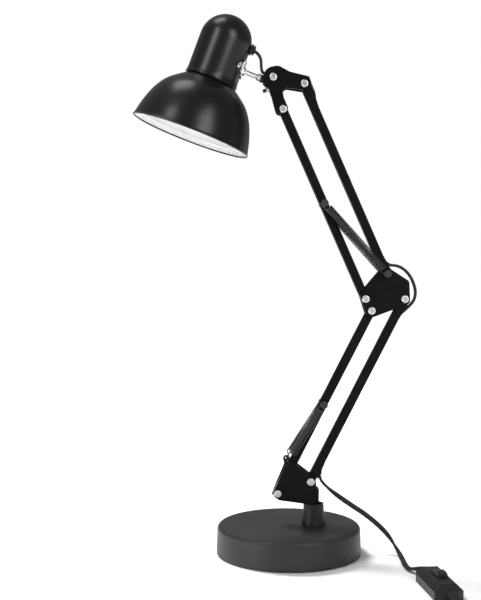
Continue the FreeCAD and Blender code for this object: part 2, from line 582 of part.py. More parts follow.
def shade():
    top = SHADE_PROFILE[-1][0]
    collar = NECK_RADIUS - NECK_WALL - SEAT
    stations = [(0.0, SHADE_RADIUS)] + SHADE_PROFILE
    outer, inner = profile_arcs(stations, 0.0), profile_arcs(stations, SHADE_WALL)
    steps = [Vector(NECK_RADIUS, 0, top), Vector(collar, 0, top + 1.0), Vector(collar, 0, HOLDER_SEAT),
             Vector(HOLDER_RADIUS + SEAT, 0, HOLDER_SEAT), Vector(HOLDER_RADIUS + SEAT, 0, HOLDER_SEAT - 1.0),
             Vector(collar - SHADE_WALL, 0, HOLDER_SEAT - 1.0), Vector(collar - SHADE_WALL, 0, top + 0.6),
             Vector(NECK_RADIUS - SHADE_WALL, 0, top)]
    lines = [Part.LineSegment(a, b).toShape() for a, b in zip(steps, steps[1:])]
    rim = [Part.LineSegment(Vector(SHADE_RADIUS, 0, 0), Vector(SHADE_RADIUS - SHADE_WALL, 0, 0)).toShape()]
    face = Part.Face(Part.Wire(Part.__sortEdges__([outer] + lines + [inner] + rim)))
    bell = face.revolve(Vector(0, 0, 0), Vector(0, 0, 1), 360)
    bead = Part.makeTorus(SHADE_RADIUS - SHADE_WALL / 2, RIM_RADIUS, Vector(0, 0, 0), Vector(0, 0, 1))
    export("shade_bell", put(bell.fuse(bead)))

    def cap_solid(wall, low):
        radius = NECK_RADIUS - wall
        side = Part.makeCylinder(radius, DOME_START - low, Vector(0, 0, low))
        dome = Part.makeSphere(radius, Vector(0, 0, DOME_START), Vector(0, 0, 1), 0, 90)
        return side.fuse(dome)

    flare = lathe([(NECK_RADIUS - 0.3, NECK_BOTTOM), (NECK_RADIUS + NECK_FLARE, NECK_BOTTOM),
                   (NECK_RADIUS + NECK_FLARE, NECK_BOTTOM + 0.8), (NECK_RADIUS, NECK_BOTTOM + 6.0),
                   (NECK_RADIUS - 0.3, NECK_BOTTOM + 6.0)])
    cap = cap_solid(0.0, NECK_BOTTOM).fuse(flare).cut(cap_solid(NECK_WALL, NECK_BOTTOM - 1.0))
    stem_hole = Part.makeCylinder(STEM_RADIUS + SEAT, 20.0, Vector(15, 0, STEM_HEIGHT), Vector(1, 0, 0))
    gland_hole = Part.makeCylinder(4.0 + SEAT, 20.0, Vector(15, 0, GLAND_HEIGHT), Vector(1, 0, 0))
    cap = cap.cut(stem_hole).cut(gland_hole)
    screw_angle, screw_height = 37.0, STEM_HEIGHT + SADDLE_EARS
    saddle_screws = []
    for sign in (-1, 1):
        out = Vector(math.cos(math.radians(screw_angle)), sign * math.sin(math.radians(screw_angle)), 0)
        base_point = out * (NECK_RADIUS - NECK_WALL - 2.0) + Vector(0, 0, screw_height)
        shank = Part.makeCylinder(1.2, 5.0, base_point, out)
        head = Part.makeCylinder(2.1, 1.3, out * (NECK_RADIUS + SADDLE_WALL + 0.25) + Vector(0, 0, screw_height), out)
        hole = Part.makeCylinder(1.2 + SEAT, 12.0, base_point - out * 2, out)
        saddle_screws.append(shank.fuse(head))
        cap = cap.cut(hole)
    export("neck_cap", put(cap))
    export("saddle_screws", *[put(screw) for screw in saddle_screws])
    saddle_top, saddle_foot = STEM_HEIGHT + SADDLE_RISE, STEM_HEIGHT - SADDLE_DROP
    shoulder, blank = STEM_HEIGHT - 5.0, Vector(0, 0, STEM_HEIGHT - 15.0)
    saddle = Part.makeCylinder(NECK_RADIUS + SEAT + SADDLE_WALL, 30.0, blank)
    saddle = saddle.cut(Part.makeCylinder(NECK_RADIUS + SEAT, 30.0, blank))
    shield = [(-7.0, saddle_top, 5.0), (7.0, saddle_top, 5.0), (20.5, screw_height, 4.5), (9.0, shoulder, 4.0),
              (3.0, saddle_foot, 2.0), (-3.0, saddle_foot, 2.0), (-9.0, shoulder, 4.0), (-20.5, screw_height, 4.5)]
    outline = Part.Face(wire_through(shield)).extrude(Vector(0, -40, 0))
    outline.rotate(Vector(0, 0, 0), Vector(0, 0, 1), 90)
    saddle = saddle.common(outline)
    boss = Part.makeCylinder(4.6, 3.6, Vector(NECK_RADIUS - 0.8, 0, STEM_HEIGHT), Vector(1, 0, 0))
    boss = boss.cut(Part.makeCylinder(NECK_RADIUS + SEAT, 30.0, blank))
    saddle = saddle.fuse(boss).cut(stem_hole)
    for sign in (-1, 1):
        out = Vector(math.cos(math.radians(screw_angle)), sign * math.sin(math.radians(screw_angle)), 0)
        saddle = saddle.cut(Part.makeCylinder(1.2 + SEAT, 12.0, out * 22 + Vector(0, 0, screw_height), out))
    export("hinge_saddle", put(saddle))

    stem_start = NECK_RADIUS - 5.0
    stem = Part.makeCylinder(STEM_RADIUS, STEM_END - stem_start, Vector(stem_start, 0, STEM_HEIGHT), Vector(1, 0, 0))
    groove_low = BARREL_END + 1.0
    groove = Part.makeCylinder(STEM_RADIUS + 1, 1.0, Vector(groove_low, 0, STEM_HEIGHT), Vector(1, 0, 0))
    groove = groove.cut(Part.makeCylinder(2.2, 1.0, Vector(groove_low, 0, STEM_HEIGHT), Vector(1, 0, 0)))
    export("stem", put(stem.cut(groove)))
    bore = Part.makeCylinder(STEM_RADIUS + SEAT, 40.0, Vector(15, 0, STEM_HEIGHT), Vector(1, 0, 0))
    inner_nut = Part.makeCylinder(4.8, 2.6, Vector(NECK_RADIUS - NECK_WALL - 3.1, 0, STEM_HEIGHT), Vector(1, 0, 0))
    collar_nut = Part.makeCylinder(3.9, 3.2, Vector(BARREL_START - 3.3, 0, STEM_HEIGHT), Vector(1, 0, 0))
    clip = Part.makeCylinder(3.6, 0.8, Vector(groove_low + 0.1, 0, STEM_HEIGHT), Vector(1, 0, 0))
    clip = clip.cut(Part.makeCylinder(2.2 + SEAT, 1.0, Vector(groove_low, 0, STEM_HEIGHT), Vector(1, 0, 0)))
    export("stem_nuts", put(inner_nut.cut(bore)), put(collar_nut.cut(bore)), put(clip))

    barrel = Part.makeCylinder(BARREL_RADIUS, BARREL_END - BARREL_START, Vector(BARREL_START, 0, STEM_HEIGHT),
                               Vector(1, 0, 0))
    face = JOINT_Y - SIDE
    disc = rod_y(TILT_PIVOT, BLOCK_RADIUS, -face, face)
    web = Part.makeBox(6.0, 6.0, 4.2, Vector(BARREL_END - 5.0, -3.0, STEM_HEIGHT))
    pocket = Part.makeBox(8.0, 2 * face, 8.0, Vector(BARREL_END, -face, STEM_HEIGHT - 4.0))
    block = disc.cut(pocket).fuse(web).fuse(barrel)
    block = block.cut(Part.makeCylinder(STEM_RADIUS + RUNNING, 30.0, Vector(40, 0, STEM_HEIGHT), Vector(1, 0, 0)))
    block = block.cut(rod_y(TILT_PIVOT, PIVOT_RADIUS + RUNNING, -face, face))
    export("swivel_block", put(block))

    skirt = lathe([(HOLDER_BORE + SHELL_WALL + 1.0, HOLDER_MOUTH), (HOLDER_RADIUS, HOLDER_MOUTH),
                   (HOLDER_RADIUS, HOLDER_SEAT + 0.02), (HOLDER_RADIUS + 3.0, HOLDER_SEAT + 0.02),
                   (HOLDER_RADIUS + 3.0, HOLDER_SEAT + 6.0), (HOLDER_RADIUS, HOLDER_SEAT + 8.0),
                   (HOLDER_RADIUS - 1.0, HOLDER_TOP), (4.0, HOLDER_TOP), (4.0, HOLDER_TOP - 8.0),
                   (HOLDER_BORE + SHELL_WALL + 1.0, HOLDER_TOP - 8.0)])
    shell_low = HOLDER_MOUTH + 4.0
    carrier_low = shell_low + SHELL_LENGTH + 4.0
    carrier = Part.makeCylinder(HOLDER_BORE + SHELL_WALL + 2.0, HOLDER_TOP - 8.0 - carrier_low,
                                Vector(0, 0, carrier_low))
    contact = Part.makeCylinder(4.0, 1.0, Vector(0, 0, carrier_low))
    export("lampholder_body", put(skirt.fuse(carrier.cut(contact))))
    shell = lathe([(HOLDER_BORE, shell_low), (HOLDER_BORE + SHELL_WALL, shell_low),
                   (HOLDER_BORE + SHELL_WALL, carrier_low), (HOLDER_BORE, carrier_low)])
    export("lampholder_contacts", put(shell), put(contact))
    ring = lathe([(HOLDER_RADIUS + SEAT, HOLDER_SEAT - 7.0), (HOLDER_RADIUS + 3.6, HOLDER_SEAT - 7.0),
                  (HOLDER_RADIUS + 3.6, HOLDER_SEAT - 1.02), (HOLDER_RADIUS + SEAT, HOLDER_SEAT - 1.02)])
    export("shade_ring", put(ring))

    gland = Part.makeCylinder(4.0, GLAND_REACH - NECK_RADIUS + 4.0, Vector(NECK_RADIUS - 4.0, 0, GLAND_HEIGHT),
                              Vector(1, 0, 0))
    flange = Part.makeCylinder(GLAND_RADIUS, 1.6, Vector(NECK_RADIUS + SEAT, 0, GLAND_HEIGHT), Vector(1, 0, 0))
    gland = gland.fuse(flange)
    for rib in range(2):
        place = Vector(NECK_RADIUS + 2.3 + 1.3 * rib, 0, GLAND_HEIGHT)
        gland = gland.fuse(Part.makeCylinder(GLAND_RADIUS - 0.6, 0.7, place, Vector(1, 0, 0)))
    passage = flat_cord_section(CORD_THICK / 2 + SEAT, CORD_WIDE + 2 * SEAT)
    passage.Placement = Placement(Vector(NECK_RADIUS - 6.0, 0, GLAND_HEIGHT), Rotation(Vector(0, 1, 0), 90))
    export("cord_gland", put(gland.cut(Part.Face(passage).extrude(Vector(14, 0, 0)))))


# ---------------------------------------------------------------- cord
def flat_cord_section(radius, wide):
    """Section of the twin cord at the origin: thin along X, wide along Y."""
    flat_half = wide / 2 - radius
    left, right = Vector(-radius, 0, 0), Vector(radius, 0, 0)
    up, down = Vector(0, flat_half, 0), Vector(0, -flat_half, 0)
    return Part.Wire([Part.LineSegment(right + down, right + up).toShape(),
                      Part.Arc(right + up, Vector(0, wide / 2, 0), left + up).toShape(),
                      Part.LineSegment(left + up, left + down).toShape(),
                      Part.Arc(left + down, Vector(0, -wide / 2, 0), right + down).toShape()])


def route(points, radii):
    """Straight runs joined by tangent arcs; an arc with no radius is as large as its runs allow."""
    edges, start, used = [], points[0], []
    for index in range(1, len(points) - 1):
        before, here, after = points[index - 1:index + 2]
        into, out = here - before, after - here
        shorter = min(into.Length, out.Length)
        into.normalize()
        out.normalize()
        turn = into.getAngle(out)
        radius = radii[index] or 0.45 * shorter / math.tan(turn / 2)
        trim = radius * math.tan(turn / 2)
        used.append(radius)
        begin, end = here - into * trim, here + out * trim
        inward = (out - into).normalize()
        middle = here + inward * (radius / math.cos(turn / 2) - radius)
        if start.distanceToPoint(begin) > 1e-6:
            edges.append(Part.LineSegment(start, begin).toShape())
        edges.append(Part.Arc(begin, middle, end).toShape())
        start = end
    edges.append(Part.LineSegment(start, points[-1]).toShape())
    return Part.Wire(edges), used


def flat_lead(name, places):
    """A held stretch of the twin cord in the swing plane; places are (x, z) or (x, z, radius)."""
    points = [flat(place[0], place[1]) for place in places]
    path, used = route(points, [place[2] if len(place) > 2 else None for place in places])
    ahead = (points[1] - points[0]).normalize()
    section = flat_cord_section(CORD_THICK / 2, CORD_WIDE)
    section.Placement = Placement(points[0], Rotation(ahead.cross(Vector(0, 1, 0)), Vector(0, 1, 0), ahead, "ZYX"))
    export(name, path.makePipeShell([section], True, False))
    print("%s: length %.0f mm, radii %s" % (name, path.Length, " ".join("%.1f" % r for r in used)))


def round_lead(name, points):
    """A free stretch of the cord as a round tube."""
    path, used = route(points, [None] * len(points))
    ring = Part.Wire(Part.makeCircle(TUBE_RADIUS, points[0], points[1] - points[0]))
    tube = path.makePipeShell([ring], True, False)
    export(name, tube)
    print("%s: length %.0f mm, radii %s, volume %.0f of %.0f mm3" % (
        name, path.Length, " ".join("%.0f" % r for r in used), tube.Volume,
        math.pi * TUBE_RADIUS ** 2 * path.Length))


# routes of the cord, chosen by hand, in the swing plane. Beside an arm: (across to the right, along).
# The elbow's loop: (x, z) from the elbow's right pivot.
HEAD_DROP_X = -28.9         # the loop's straight drop behind the stem
HEAD_DROP_RADIUS = 8.8
HEAD_U_RADIUS = 4.0         # the tight turn up into the bracket
OVER_BLOCK_RADIUS = 8.2
HEAD_CORNER = (6.2, ARM_LENGTH + 6.0)
HEAD_DIVE = [(6.2, ARM_LENGTH - 12.5), (0.6, ARM_LENGTH - 26.4)]
ELBOW_EXIT = [(0.6, 20.0), (6.0, 7.0)]
ELBOW_LOOP = [(-7.62, 34.61), (0.08, 30.81), (6.68, 23.41), (10.98, 13.41), (12.08, 5.61), (10.38, -1.99)]
ELBOW_ENTRY = [(7.9, ARM_LENGTH - 5.2), (0.6, ARM_LENGTH - 24.0)]
FOOT_EXIT = [(0.6, 27.0), (4.6, 14.0)]

# the free cord from the lower arm to the switch: (x, y, z)
REST = TUBE_RADIUS + CORD_LIFT
TO_SWITCH = [(32.3, 0, 77.5), (37.0, 0, 71.2), (46.8, 0, 62.6), (62.6, 0.5, 51.2), (84.0, 1, 37.2),
             (102.5, -3, 20.8), (111.6, -14, 6.6), (113.8, -32, REST), (112.8, -52, REST),
             (113.8, -69, 2.8), (118.2, -77.2, 5.6)]

# in-line switch
SWITCH_CENTRE = Vector(131.5, -127.5, 0)
SWITCH_HEADING = -83.7
SWITCH_LENGTH = 70.0
SWITCH_WIDTH = 27.0
SWITCH_NOSE = 11.0
SWITCH_CREST = 14.0         # width of the cover's flat top
SWITCH_EDGE = 2.0
SWITCH_SPLIT = 8.0
SWITCH_TOP = 14.5
SWITCH_WALL = 1.6
SWITCH_PART = 0.05          # half the seam between the two shells
ROCKER_LENGTH = 22.0
ROCKER_WIDTH = 9.0
ROCKER_PIVOT = 11.0
ROCKER_RISE = 4.6           # above the cover

# coil of the length that isn't shown, and the plug
COIL_CENTRE = (95.0, -238.0)
COIL_MIDDLE = 32.0
COIL_PITCH = 5.5
COIL_TURNS = 3              # in each of the two layers
COIL_START = COIL_MIDDLE + COIL_PITCH * COIL_TURNS / 2
TO_COIL = [(138.2, -192.0, 3.4), (COIL_CENTRE[0] + COIL_START, -214.0, REST)]
TO_PLUG = [(72.0, -280.2, 6.6), (54.0, -283.6, 5.2)]
PLUG_AT = Vector(20.0, -285.0, 0)
PLUG_LENGTH = 34.0
PLUG_WIDTH = 34.0
PLUG_THICK = 13.6
PLUG_PIN_RADIUS = 2.0
PLUG_PIN_LENGTH = 19.0
PLUG_PIN_SPACING = 18.6


def bend(centre, radius, first, last, parts=1):
    """Route points, each (x, z, radius), of a turn about a centre from heading first to last."""
    step = (last - first) / parts
    side = 1 if step > 0 else -1
    reach = radius / math.cos(math.radians(step / 2))
    return [along(centre, first + step * (k + 0.5) - 90 * side, reach) + (radius,) for k in range(parts)]


def between(start, end, share=0.5):
    """A point on the straight run from start to end."""
    return tuple(a + (b - a) * share for a, b in zip(start, end))


def switch():
    """In-line rocker switch, built along +X at the origin and turned to its heading."""
    def lay(shape):
        shape.Placement = Placement(SWITCH_CENTRE, Rotation(Vector(0, 0, 1), SWITCH_HEADING))
        return shape

    def shell(low, high, crest, shorter, wall):
        """Rounded plan, cut by the slopes of its long sides and its ends."""
        half, end, nose = SWITCH_WIDTH / 2 - wall, SWITCH_LENGTH / 2 - wall, SWITCH_NOSE / 2 - wall / 2
        edge = SWITCH_EDGE if wall == 0 and crest < SWITCH_WIDTH else 0.0
        plan = sheet([(-end, -nose, 2.0), (5.0 - end, -half, 3.0), (end - 5.0, -half, 3.0), (end, -nose, 2.0),
                      (end, nose, 2.0), (end - 5.0, half, 3.0), (5.0 - end, half, 3.0), (-end, nose, 2.0)], low, high)
        plan.rotate(Vector(0, 0, 0), Vector(1, 0, 0), 90)
        ends = sheet([(-end, low, 0), (end, low, 0), (end - shorter, high, edge), (shorter - end, high, edge)],
                     -SWITCH_WIDTH, SWITCH_WIDTH)
        inner_crest = crest / 2 - wall
        sides = sheet([(-half, low, 0), (half, low, 0), (inner_crest, high, edge), (-inner_crest, high, edge)],
                      -SWITCH_LENGTH, SWITCH_LENGTH)
        sides.rotate(Vector(0, 0, 0), Vector(0, 0, 1), 90)
        return plan.common(ends).common(sides)

    wall = SWITCH_WALL
    inlet = Part.makeCylinder(TUBE_RADIUS + SEAT, SWITCH_LENGTH + 20, Vector(-SWITCH_LENGTH / 2 - 10, 0, SWITCH_SPLIT),
                              Vector(1, 0, 0))
    bottom = shell(CORD_LIFT, SWITCH_SPLIT - SWITCH_PART, SWITCH_WIDTH, 0.0, 0.0)
    bottom = bottom.cut(shell(CORD_LIFT + wall, SWITCH_SPLIT, SWITCH_WIDTH, 0.0, wall)).cut(inlet)
    top = shell(SWITCH_SPLIT + SWITCH_PART, SWITCH_TOP, SWITCH_CREST, 8.0, 0.0)
    top = top.cut(shell(SWITCH_SPLIT, SWITCH_TOP - wall, SWITCH_CREST, 8.0, wall)).cut(inlet)
    long_half, wide_half, gap, swing = ROCKER_LENGTH / 2, ROCKER_WIDTH / 2, 0.4, 1.1
    window = Part.makeBox(2 * (long_half + swing), 2 * (wide_half + gap), 8.0,
                          Vector(-long_half - swing, -wide_half - gap, SWITCH_SPLIT + 1))
    top = top.cut(window)
    cheek_low, cheek_high = SWITCH_SPLIT + 0.6, SWITCH_TOP - wall + 0.3
    for y in (-wide_half - gap - wall, wide_half + gap):
        cheek = Part.makeBox(6.0, wall, cheek_high - cheek_low, Vector(-3.0, y, cheek_low))
        top = top.fuse(cheek.cut(rod_y((0, ROCKER_PIVOT), 1.5 + RUNNING, -20, 20)))
    export("switch_base", lay(bottom))
    export("switch_cover", lay(top))

    low_end, high_end = SWITCH_TOP + 0.4, SWITCH_TOP + 3.4
    crown = Part.Arc(Vector(-long_half, 0, low_end), Vector(2.0, 0, SWITCH_TOP + ROCKER_RISE),
                     Vector(long_half, 0, high_end))
    under = [Vector(long_half, 0, high_end), Vector(long_half, 0, ROCKER_PIVOT + 0.6),
             Vector(0, 0, ROCKER_PIVOT - 1.9), Vector(-long_half, 0, ROCKER_PIVOT - 0.6),
             Vector(-long_half, 0, low_end)]
    edges = [crown.toShape()] + [Part.LineSegment(a, b).toShape() for a, b in zip(under, under[1:])]
    rocker = Part.Face(Part.Wire(edges)).extrude(Vector(0, ROCKER_WIDTH, 0))
    rocker.translate(Vector(0, -wide_half, 0))
    trunnion_end = wide_half + gap + wall - 0.6
    trunnion = rod_y((0, ROCKER_PIVOT), 1.5, -trunnion_end, trunnion_end)
    export("switch_rocker", lay(rocker.fuse(trunnion)))
    spin = Rotation(Vector(0, 0, 1), SWITCH_HEADING)
    reach = SWITCH_LENGTH / 2 - 6.0
    ends = [SWITCH_CENTRE + spin.multVec(Vector(x, 0, SWITCH_SPLIT)) for x in (-reach, reach)]
    return ends, spin.multVec(Vector(1, 0, 0))


def coil():
    """Six loops in two layers: in on the desk, and out again on top."""
    cx, cy = COIL_CENTRE
    outer = COIL_START
    layer = 2 * TUBE_RADIUS + 0.8
    nodes = [(Vector(cx + outer, cy + 2 * TUBE_RADIUS, REST), Vector(0, -1, 0))]
    quarter_steps = 8 * COIL_TURNS + 1
    for step in range(quarter_steps + 1):
        turns = step / 4
        climb = min(max((turns - COIL_TURNS + 0.25) / 0.5, 0.0), 1.0)
        steps_in = min(turns, COIL_TURNS)
        steps_out = max(turns - COIL_TURNS, 0.0)
        radius = outer - COIL_PITCH * (steps_in - steps_out)
        angle = -2 * math.pi * turns
        point = Vector(cx + radius * math.cos(angle), cy + radius * math.sin(angle), REST + layer * climb)
        if turns < COIL_TURNS - 1e-9:
            drift = -COIL_PITCH / (2 * math.pi)
        elif turns > 2 * COIL_TURNS + 0.2 or abs(turns - COIL_TURNS) < 1e-9:
            drift = 0.0
        else:
            drift = COIL_PITCH / (2 * math.pi)
        rise = layer / math.pi if 0.2 < climb < 0.8 else 0.0
        direction = Vector(drift * math.cos(angle) + radius * math.sin(angle),
                           drift * math.sin(angle) - radius * math.cos(angle), rise)
        nodes.append((point, direction.normalize()))
    last_point, last_way = nodes[-1]
    nodes.append((last_point + last_way * 2 * TUBE_RADIUS, last_way))
    tube, path = round_tube(nodes, TUBE_RADIUS)
    export("cord_coil", tube)
    print("coil: length %.0f mm, least gap %.2f mm, volume %.0f of %.0f mm3" % (
        path.Length, least_gap(path, TUBE_RADIUS, 60.0), tube.Volume, math.pi * TUBE_RADIUS ** 2 * path.Length))
    return nodes[0][0], nodes[-1][0]


def plug():
    """Flat two-pin plug lying on the desk, cord at its +X end."""
    half = PLUG_WIDTH / 2
    points = [(-PLUG_LENGTH, -half, 4.0), (-12.0, -half, 8.0), (0.0, -4.5, 2.0), (0.0, 4.5, 2.0),
              (-12.0, half, 8.0), (-PLUG_LENGTH, half, 4.0)]
    body = Part.Face(wire_through(points)).extrude(Vector(0, PLUG_THICK, 0))
    body.rotate(Vector(0, 0, 0), Vector(1, 0, 0), 90)
    body = body.makeFillet(2.0, [edge for edge in body.Edges if edge.BoundBox.ZLength < 0.01])
    body.translate(PLUG_AT + Vector(0, 0, CORD_LIFT))
    middle = PLUG_THICK / 2 + CORD_LIFT
    inlet = PLUG_AT + Vector(-5.0, 0, middle)
    body = body.cut(Part.makeCylinder(TUBE_RADIUS + SEAT, 10.0, inlet, Vector(1, 0, 0)))
    pins = []
    for y in (-PLUG_PIN_SPACING / 2, PLUG_PIN_SPACING / 2):
        foot = PLUG_AT + Vector(-PLUG_LENGTH + 8.0, y, middle)
        pin = Part.makeCylinder(PLUG_PIN_RADIUS, PLUG_PIN_LENGTH + 8.0, foot, Vector(-1, 0, 0))
        tip = [edge for edge in pin.Edges if edge.BoundBox.XMax < foot.x - PLUG_PIN_LENGTH - 7.9]
        pins.append(pin.makeFillet(0.9, tip))
        body = body.cut(Part.makeCylinder(PLUG_PIN_RADIUS + SEAT, 9.0, foot, Vector(-1, 0, 0)))
    export("plug_body", body)
    export("plug_pins", *pins)
    return inlet


def cords():
    def upper(place):
        return on_arm(D, UPPER_LEAN, *place)

    def lower(place):
        return on_arm(H, LOWER_LEAN, *place)

    # head loop: out of the gland, down behind the stem, up over the block and round to the upper arm
    gland_start = in_shade(NECK_RADIUS + 1.0, GLAND_HEIGHT)
    ahead = (HEAD_DROP_X - gland_start[0]) / math.cos(math.radians(SHADE_TILT))
    drop = [along(gland_start, -SHADE_TILT, ahead) + (HEAD_DROP_RADIUS,)]
    u_x = HEAD_DROP_X + HEAD_U_RADIUS
    reach = OVER_BLOCK_RADIUS + HEAD_U_RADIUS
    u_centre = (u_x, TILT[1] + math.sqrt(reach ** 2 - (TILT[0] - u_x) ** 2))
    climb = 90 - math.degrees(math.atan2(u_centre[1] - TILT[1], TILT[0] - u_x))
    corner = upper(HEAD_CORNER)
    to_corner = (corner[0] - TILT[0], corner[1] - TILT[1])
    level = math.degrees(math.atan2(to_corner[1], to_corner[0]) - math.asin(OVER_BLOCK_RADIUS / math.hypot(*to_corner)))
    head = [gland_start] + drop + bend(u_centre, HEAD_U_RADIUS, -90, climb, 2)
    head += bend(TILT, OVER_BLOCK_RADIUS, climb, level) + [corner + (6.0,)]
    dive = [upper(place) for place in HEAD_DIVE]
    leave = [upper(place) for place in ELBOW_EXIT]
    enter = [lower(place) for place in ELBOW_ENTRY]
    out = [lower(place) for place in FOOT_EXIT]
    head_joint = between(corner, dive[0])
    elbow_joint = between(leave[0], leave[1], 0.7)
    low_joint = between(enter[0], enter[1], 0.3)
    foot_joint = between(out[1], TO_SWITCH[0][::2])
    flat_lead("head_cord", head + [head_joint])
    flat_lead("upper_arm_cord", [head_joint] + dive + leave[:1] + [elbow_joint])
    loop = [(C[0] + x, C[1] + z) for x, z in ELBOW_LOOP]
    flat_lead("elbow_cord", [elbow_joint] + leave[1:] + loop + enter[:1] + [low_joint])
    flat_lead("lower_arm_cord", [low_joint] + enter[1:] + out + [foot_joint])

    ends, heading = switch()
    approach = ends[0] - heading * 12.0
    round_lead("cord_to_switch", [flat(*foot_joint)] + [Vector(*point) for point in TO_SWITCH] + [approach, ends[0]])
    coil_in, coil_out = coil()
    away = ends[1] + heading * 15.0
    round_lead("cord_to_coil", [ends[1], away] + [Vector(*point) for point in TO_COIL] + [coil_in])
    inlet = plug()
    round_lead("cord_to_plug", [coil_out, coil_out - Vector(12.0, 0, 0)] + [Vector(*point) for point in TO_PLUG] +
               [inlet + Vector(17.0, 0, 0), inlet])
    return ends, heading


# ---------------------------------------------------------------- the whole lamp
def main():
    os.makedirs("parts", exist_ok=True)
    base()
    ear = foot_bracket()
    foot_gap, joint_gap = FOOT_Y, JOINT_Y
    arm("lower_left", G, LOWER_LEAN, (foot_gap, joint_gap), (RUNNING, OPEN_PIVOT), pin=SPRING_PIN_LOWER)
    arm("lower_right", H, LOWER_LEAN, (foot_gap, joint_gap), (RUNNING, RUNNING),
        slots=LOWER_SLOTS)
    elbow()
    arm("upper_left", A, UPPER_LEAN, (joint_gap, joint_gap), (RUNNING, OPEN_PIVOT), pin=SPRING_PIN_UPPER)
    arm("upper_right", D, UPPER_LEAN, (joint_gap, joint_gap), (RUNNING, RUNNING),
        slots=UPPER_SLOTS)
    springs(ear)
    head_bracket()
    shade()
    ends, heading = cords()
    for label, place in (("G", G), ("H", H), ("B", B), ("C", C), ("A", A), ("D", D), ("E", E), ("F", F),
                         ("tilt", TILT), ("shade", SHADE_FOOT)):
        print("%s %.3f %.3f" % (label, *place))
    print("switch ends", ends, "heading", heading)


main()
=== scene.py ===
"""Looks of a two-section swing-arm desk lamp: round weighted base, two parallelogram arms with balance
springs, bell shade with a domed neck, flat twin cord with a rocker switch. Metres, in the CAD's frame."""

import math

import bmesh
import bpy
import numpy as np
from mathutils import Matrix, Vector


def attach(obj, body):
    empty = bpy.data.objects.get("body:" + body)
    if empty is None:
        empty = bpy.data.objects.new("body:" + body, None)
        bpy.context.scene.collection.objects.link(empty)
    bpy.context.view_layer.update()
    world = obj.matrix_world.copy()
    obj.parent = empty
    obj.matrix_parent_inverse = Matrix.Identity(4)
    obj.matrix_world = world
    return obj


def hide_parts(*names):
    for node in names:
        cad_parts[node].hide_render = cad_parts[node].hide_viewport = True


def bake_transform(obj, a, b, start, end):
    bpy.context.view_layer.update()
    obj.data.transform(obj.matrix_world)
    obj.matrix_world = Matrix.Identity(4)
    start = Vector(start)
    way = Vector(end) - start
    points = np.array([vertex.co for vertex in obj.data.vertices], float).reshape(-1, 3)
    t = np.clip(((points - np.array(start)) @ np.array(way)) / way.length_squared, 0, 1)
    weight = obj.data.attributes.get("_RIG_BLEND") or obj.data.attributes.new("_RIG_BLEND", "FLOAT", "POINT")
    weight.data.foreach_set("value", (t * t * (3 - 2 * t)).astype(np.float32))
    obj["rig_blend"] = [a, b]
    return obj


bl_info = {
    "name": "Swing-arm desk lamp",
    "version": (1, 0, 0),
    "blender": (4, 5, 0),
    "location": "View3D > Sidebar > Lamp",
    "description": "Dresses the packed lamp: shade, base, stem, springs, cords, finishes and stage",
    "category": "Object",
}

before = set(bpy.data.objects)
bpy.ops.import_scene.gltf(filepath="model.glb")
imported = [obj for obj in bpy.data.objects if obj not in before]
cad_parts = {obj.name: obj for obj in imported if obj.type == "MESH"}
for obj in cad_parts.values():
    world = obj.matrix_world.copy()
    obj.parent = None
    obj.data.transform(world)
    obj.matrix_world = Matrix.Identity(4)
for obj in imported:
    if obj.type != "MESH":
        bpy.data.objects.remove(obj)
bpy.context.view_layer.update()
MM = 0.001

# places in the swing plane, (x, z) in millimetres, and leans in degrees, as in the part's source
FOOT_LEFT = np.array((-11.7, 63.3))
FOOT_RIGHT = np.array((22.518, 75.417))
ELBOW_LEFT = np.array((78.921, 264.587))
ELBOW_TOP = np.array((100.666, 290.594))
TILT = np.array((-16.593, 491.766))
SHADE_FOOT = np.array((-101.613, 433.127))
SHADE_TILT = math.radians(20.5)
LOWER_LEAN = 27.1
UPPER_LEAN = -23.7
ARM_LENGTH = 212.5          # pivot to pivot
SWIVEL_X = 26.0             # the post's axis, right of the base's middle
STEM_HEIGHT = 80.0          # above the shade's mouth, along its axis

# balance springs, in millimetres
LOWER_SPRING_PIN = 104.0    # along the lower left tube
UPPER_SPRING_PIN = 107.2    # along the upper left tube
SPRING_EAR = (9.7, 33.7)    # the foot plates' ear, from the left pivot
SPRING_SIDE = 11.6          # from the swing plane to a spring's middle
EAR_SIDE = 7.75             # from the swing plane to the middle of a foot plate


# ---------------------------------------------------------------- sizes and colours
class LampSizes(bpy.types.PropertyGroup):
    """Sizes of the pieces that are worked out here."""

    shade_wall: bpy.props.FloatProperty(
        name="Shade wall", description="Sheet thickness of the bell", default=0.8 * MM,
        min=0.0004, max=0.002, unit="LENGTH", precision=4)
    ring_depth: bpy.props.FloatProperty(
        name="Spun rings", description="Height of the spun rings inside the bell", default=0.6 * MM,
        min=0.0, max=0.001, unit="LENGTH", precision=5)
    thread_pitch: bpy.props.FloatProperty(
        name="Thread pitch", description="Pitch of the stem's thread", default=1.0 * MM,
        min=0.0005, max=0.002, unit="LENGTH", precision=4)
    spring_wire: bpy.props.FloatProperty(
        name="Spring wire", description="Diameter of the spring wire", default=1.1 * MM,
        min=0.0006, max=0.0016, unit="LENGTH", precision=4)
    spring_pitch: bpy.props.FloatProperty(
        name="Spring pitch", description="Distance from turn to turn along a spring", default=1.27 * MM,
        min=0.001, max=0.004, unit="LENGTH", precision=4)
    cord_width: bpy.props.FloatProperty(
        name="Cord width", description="Width of the flat twin cord", default=5.4 * MM,
        min=0.004, max=0.008, unit="LENGTH", precision=4)
    cord_thickness: bpy.props.FloatProperty(
        name="Cord thickness", description="Thickness of the flat twin cord", default=3.0 * MM,
        min=0.002, max=0.005, unit="LENGTH", precision=4)
    free_cord: bpy.props.FloatProperty(
        name="Free cord", description="Length of the cord from the lower arm to the plug", default=1.69,
        min=1.0, max=3.0, unit="LENGTH")


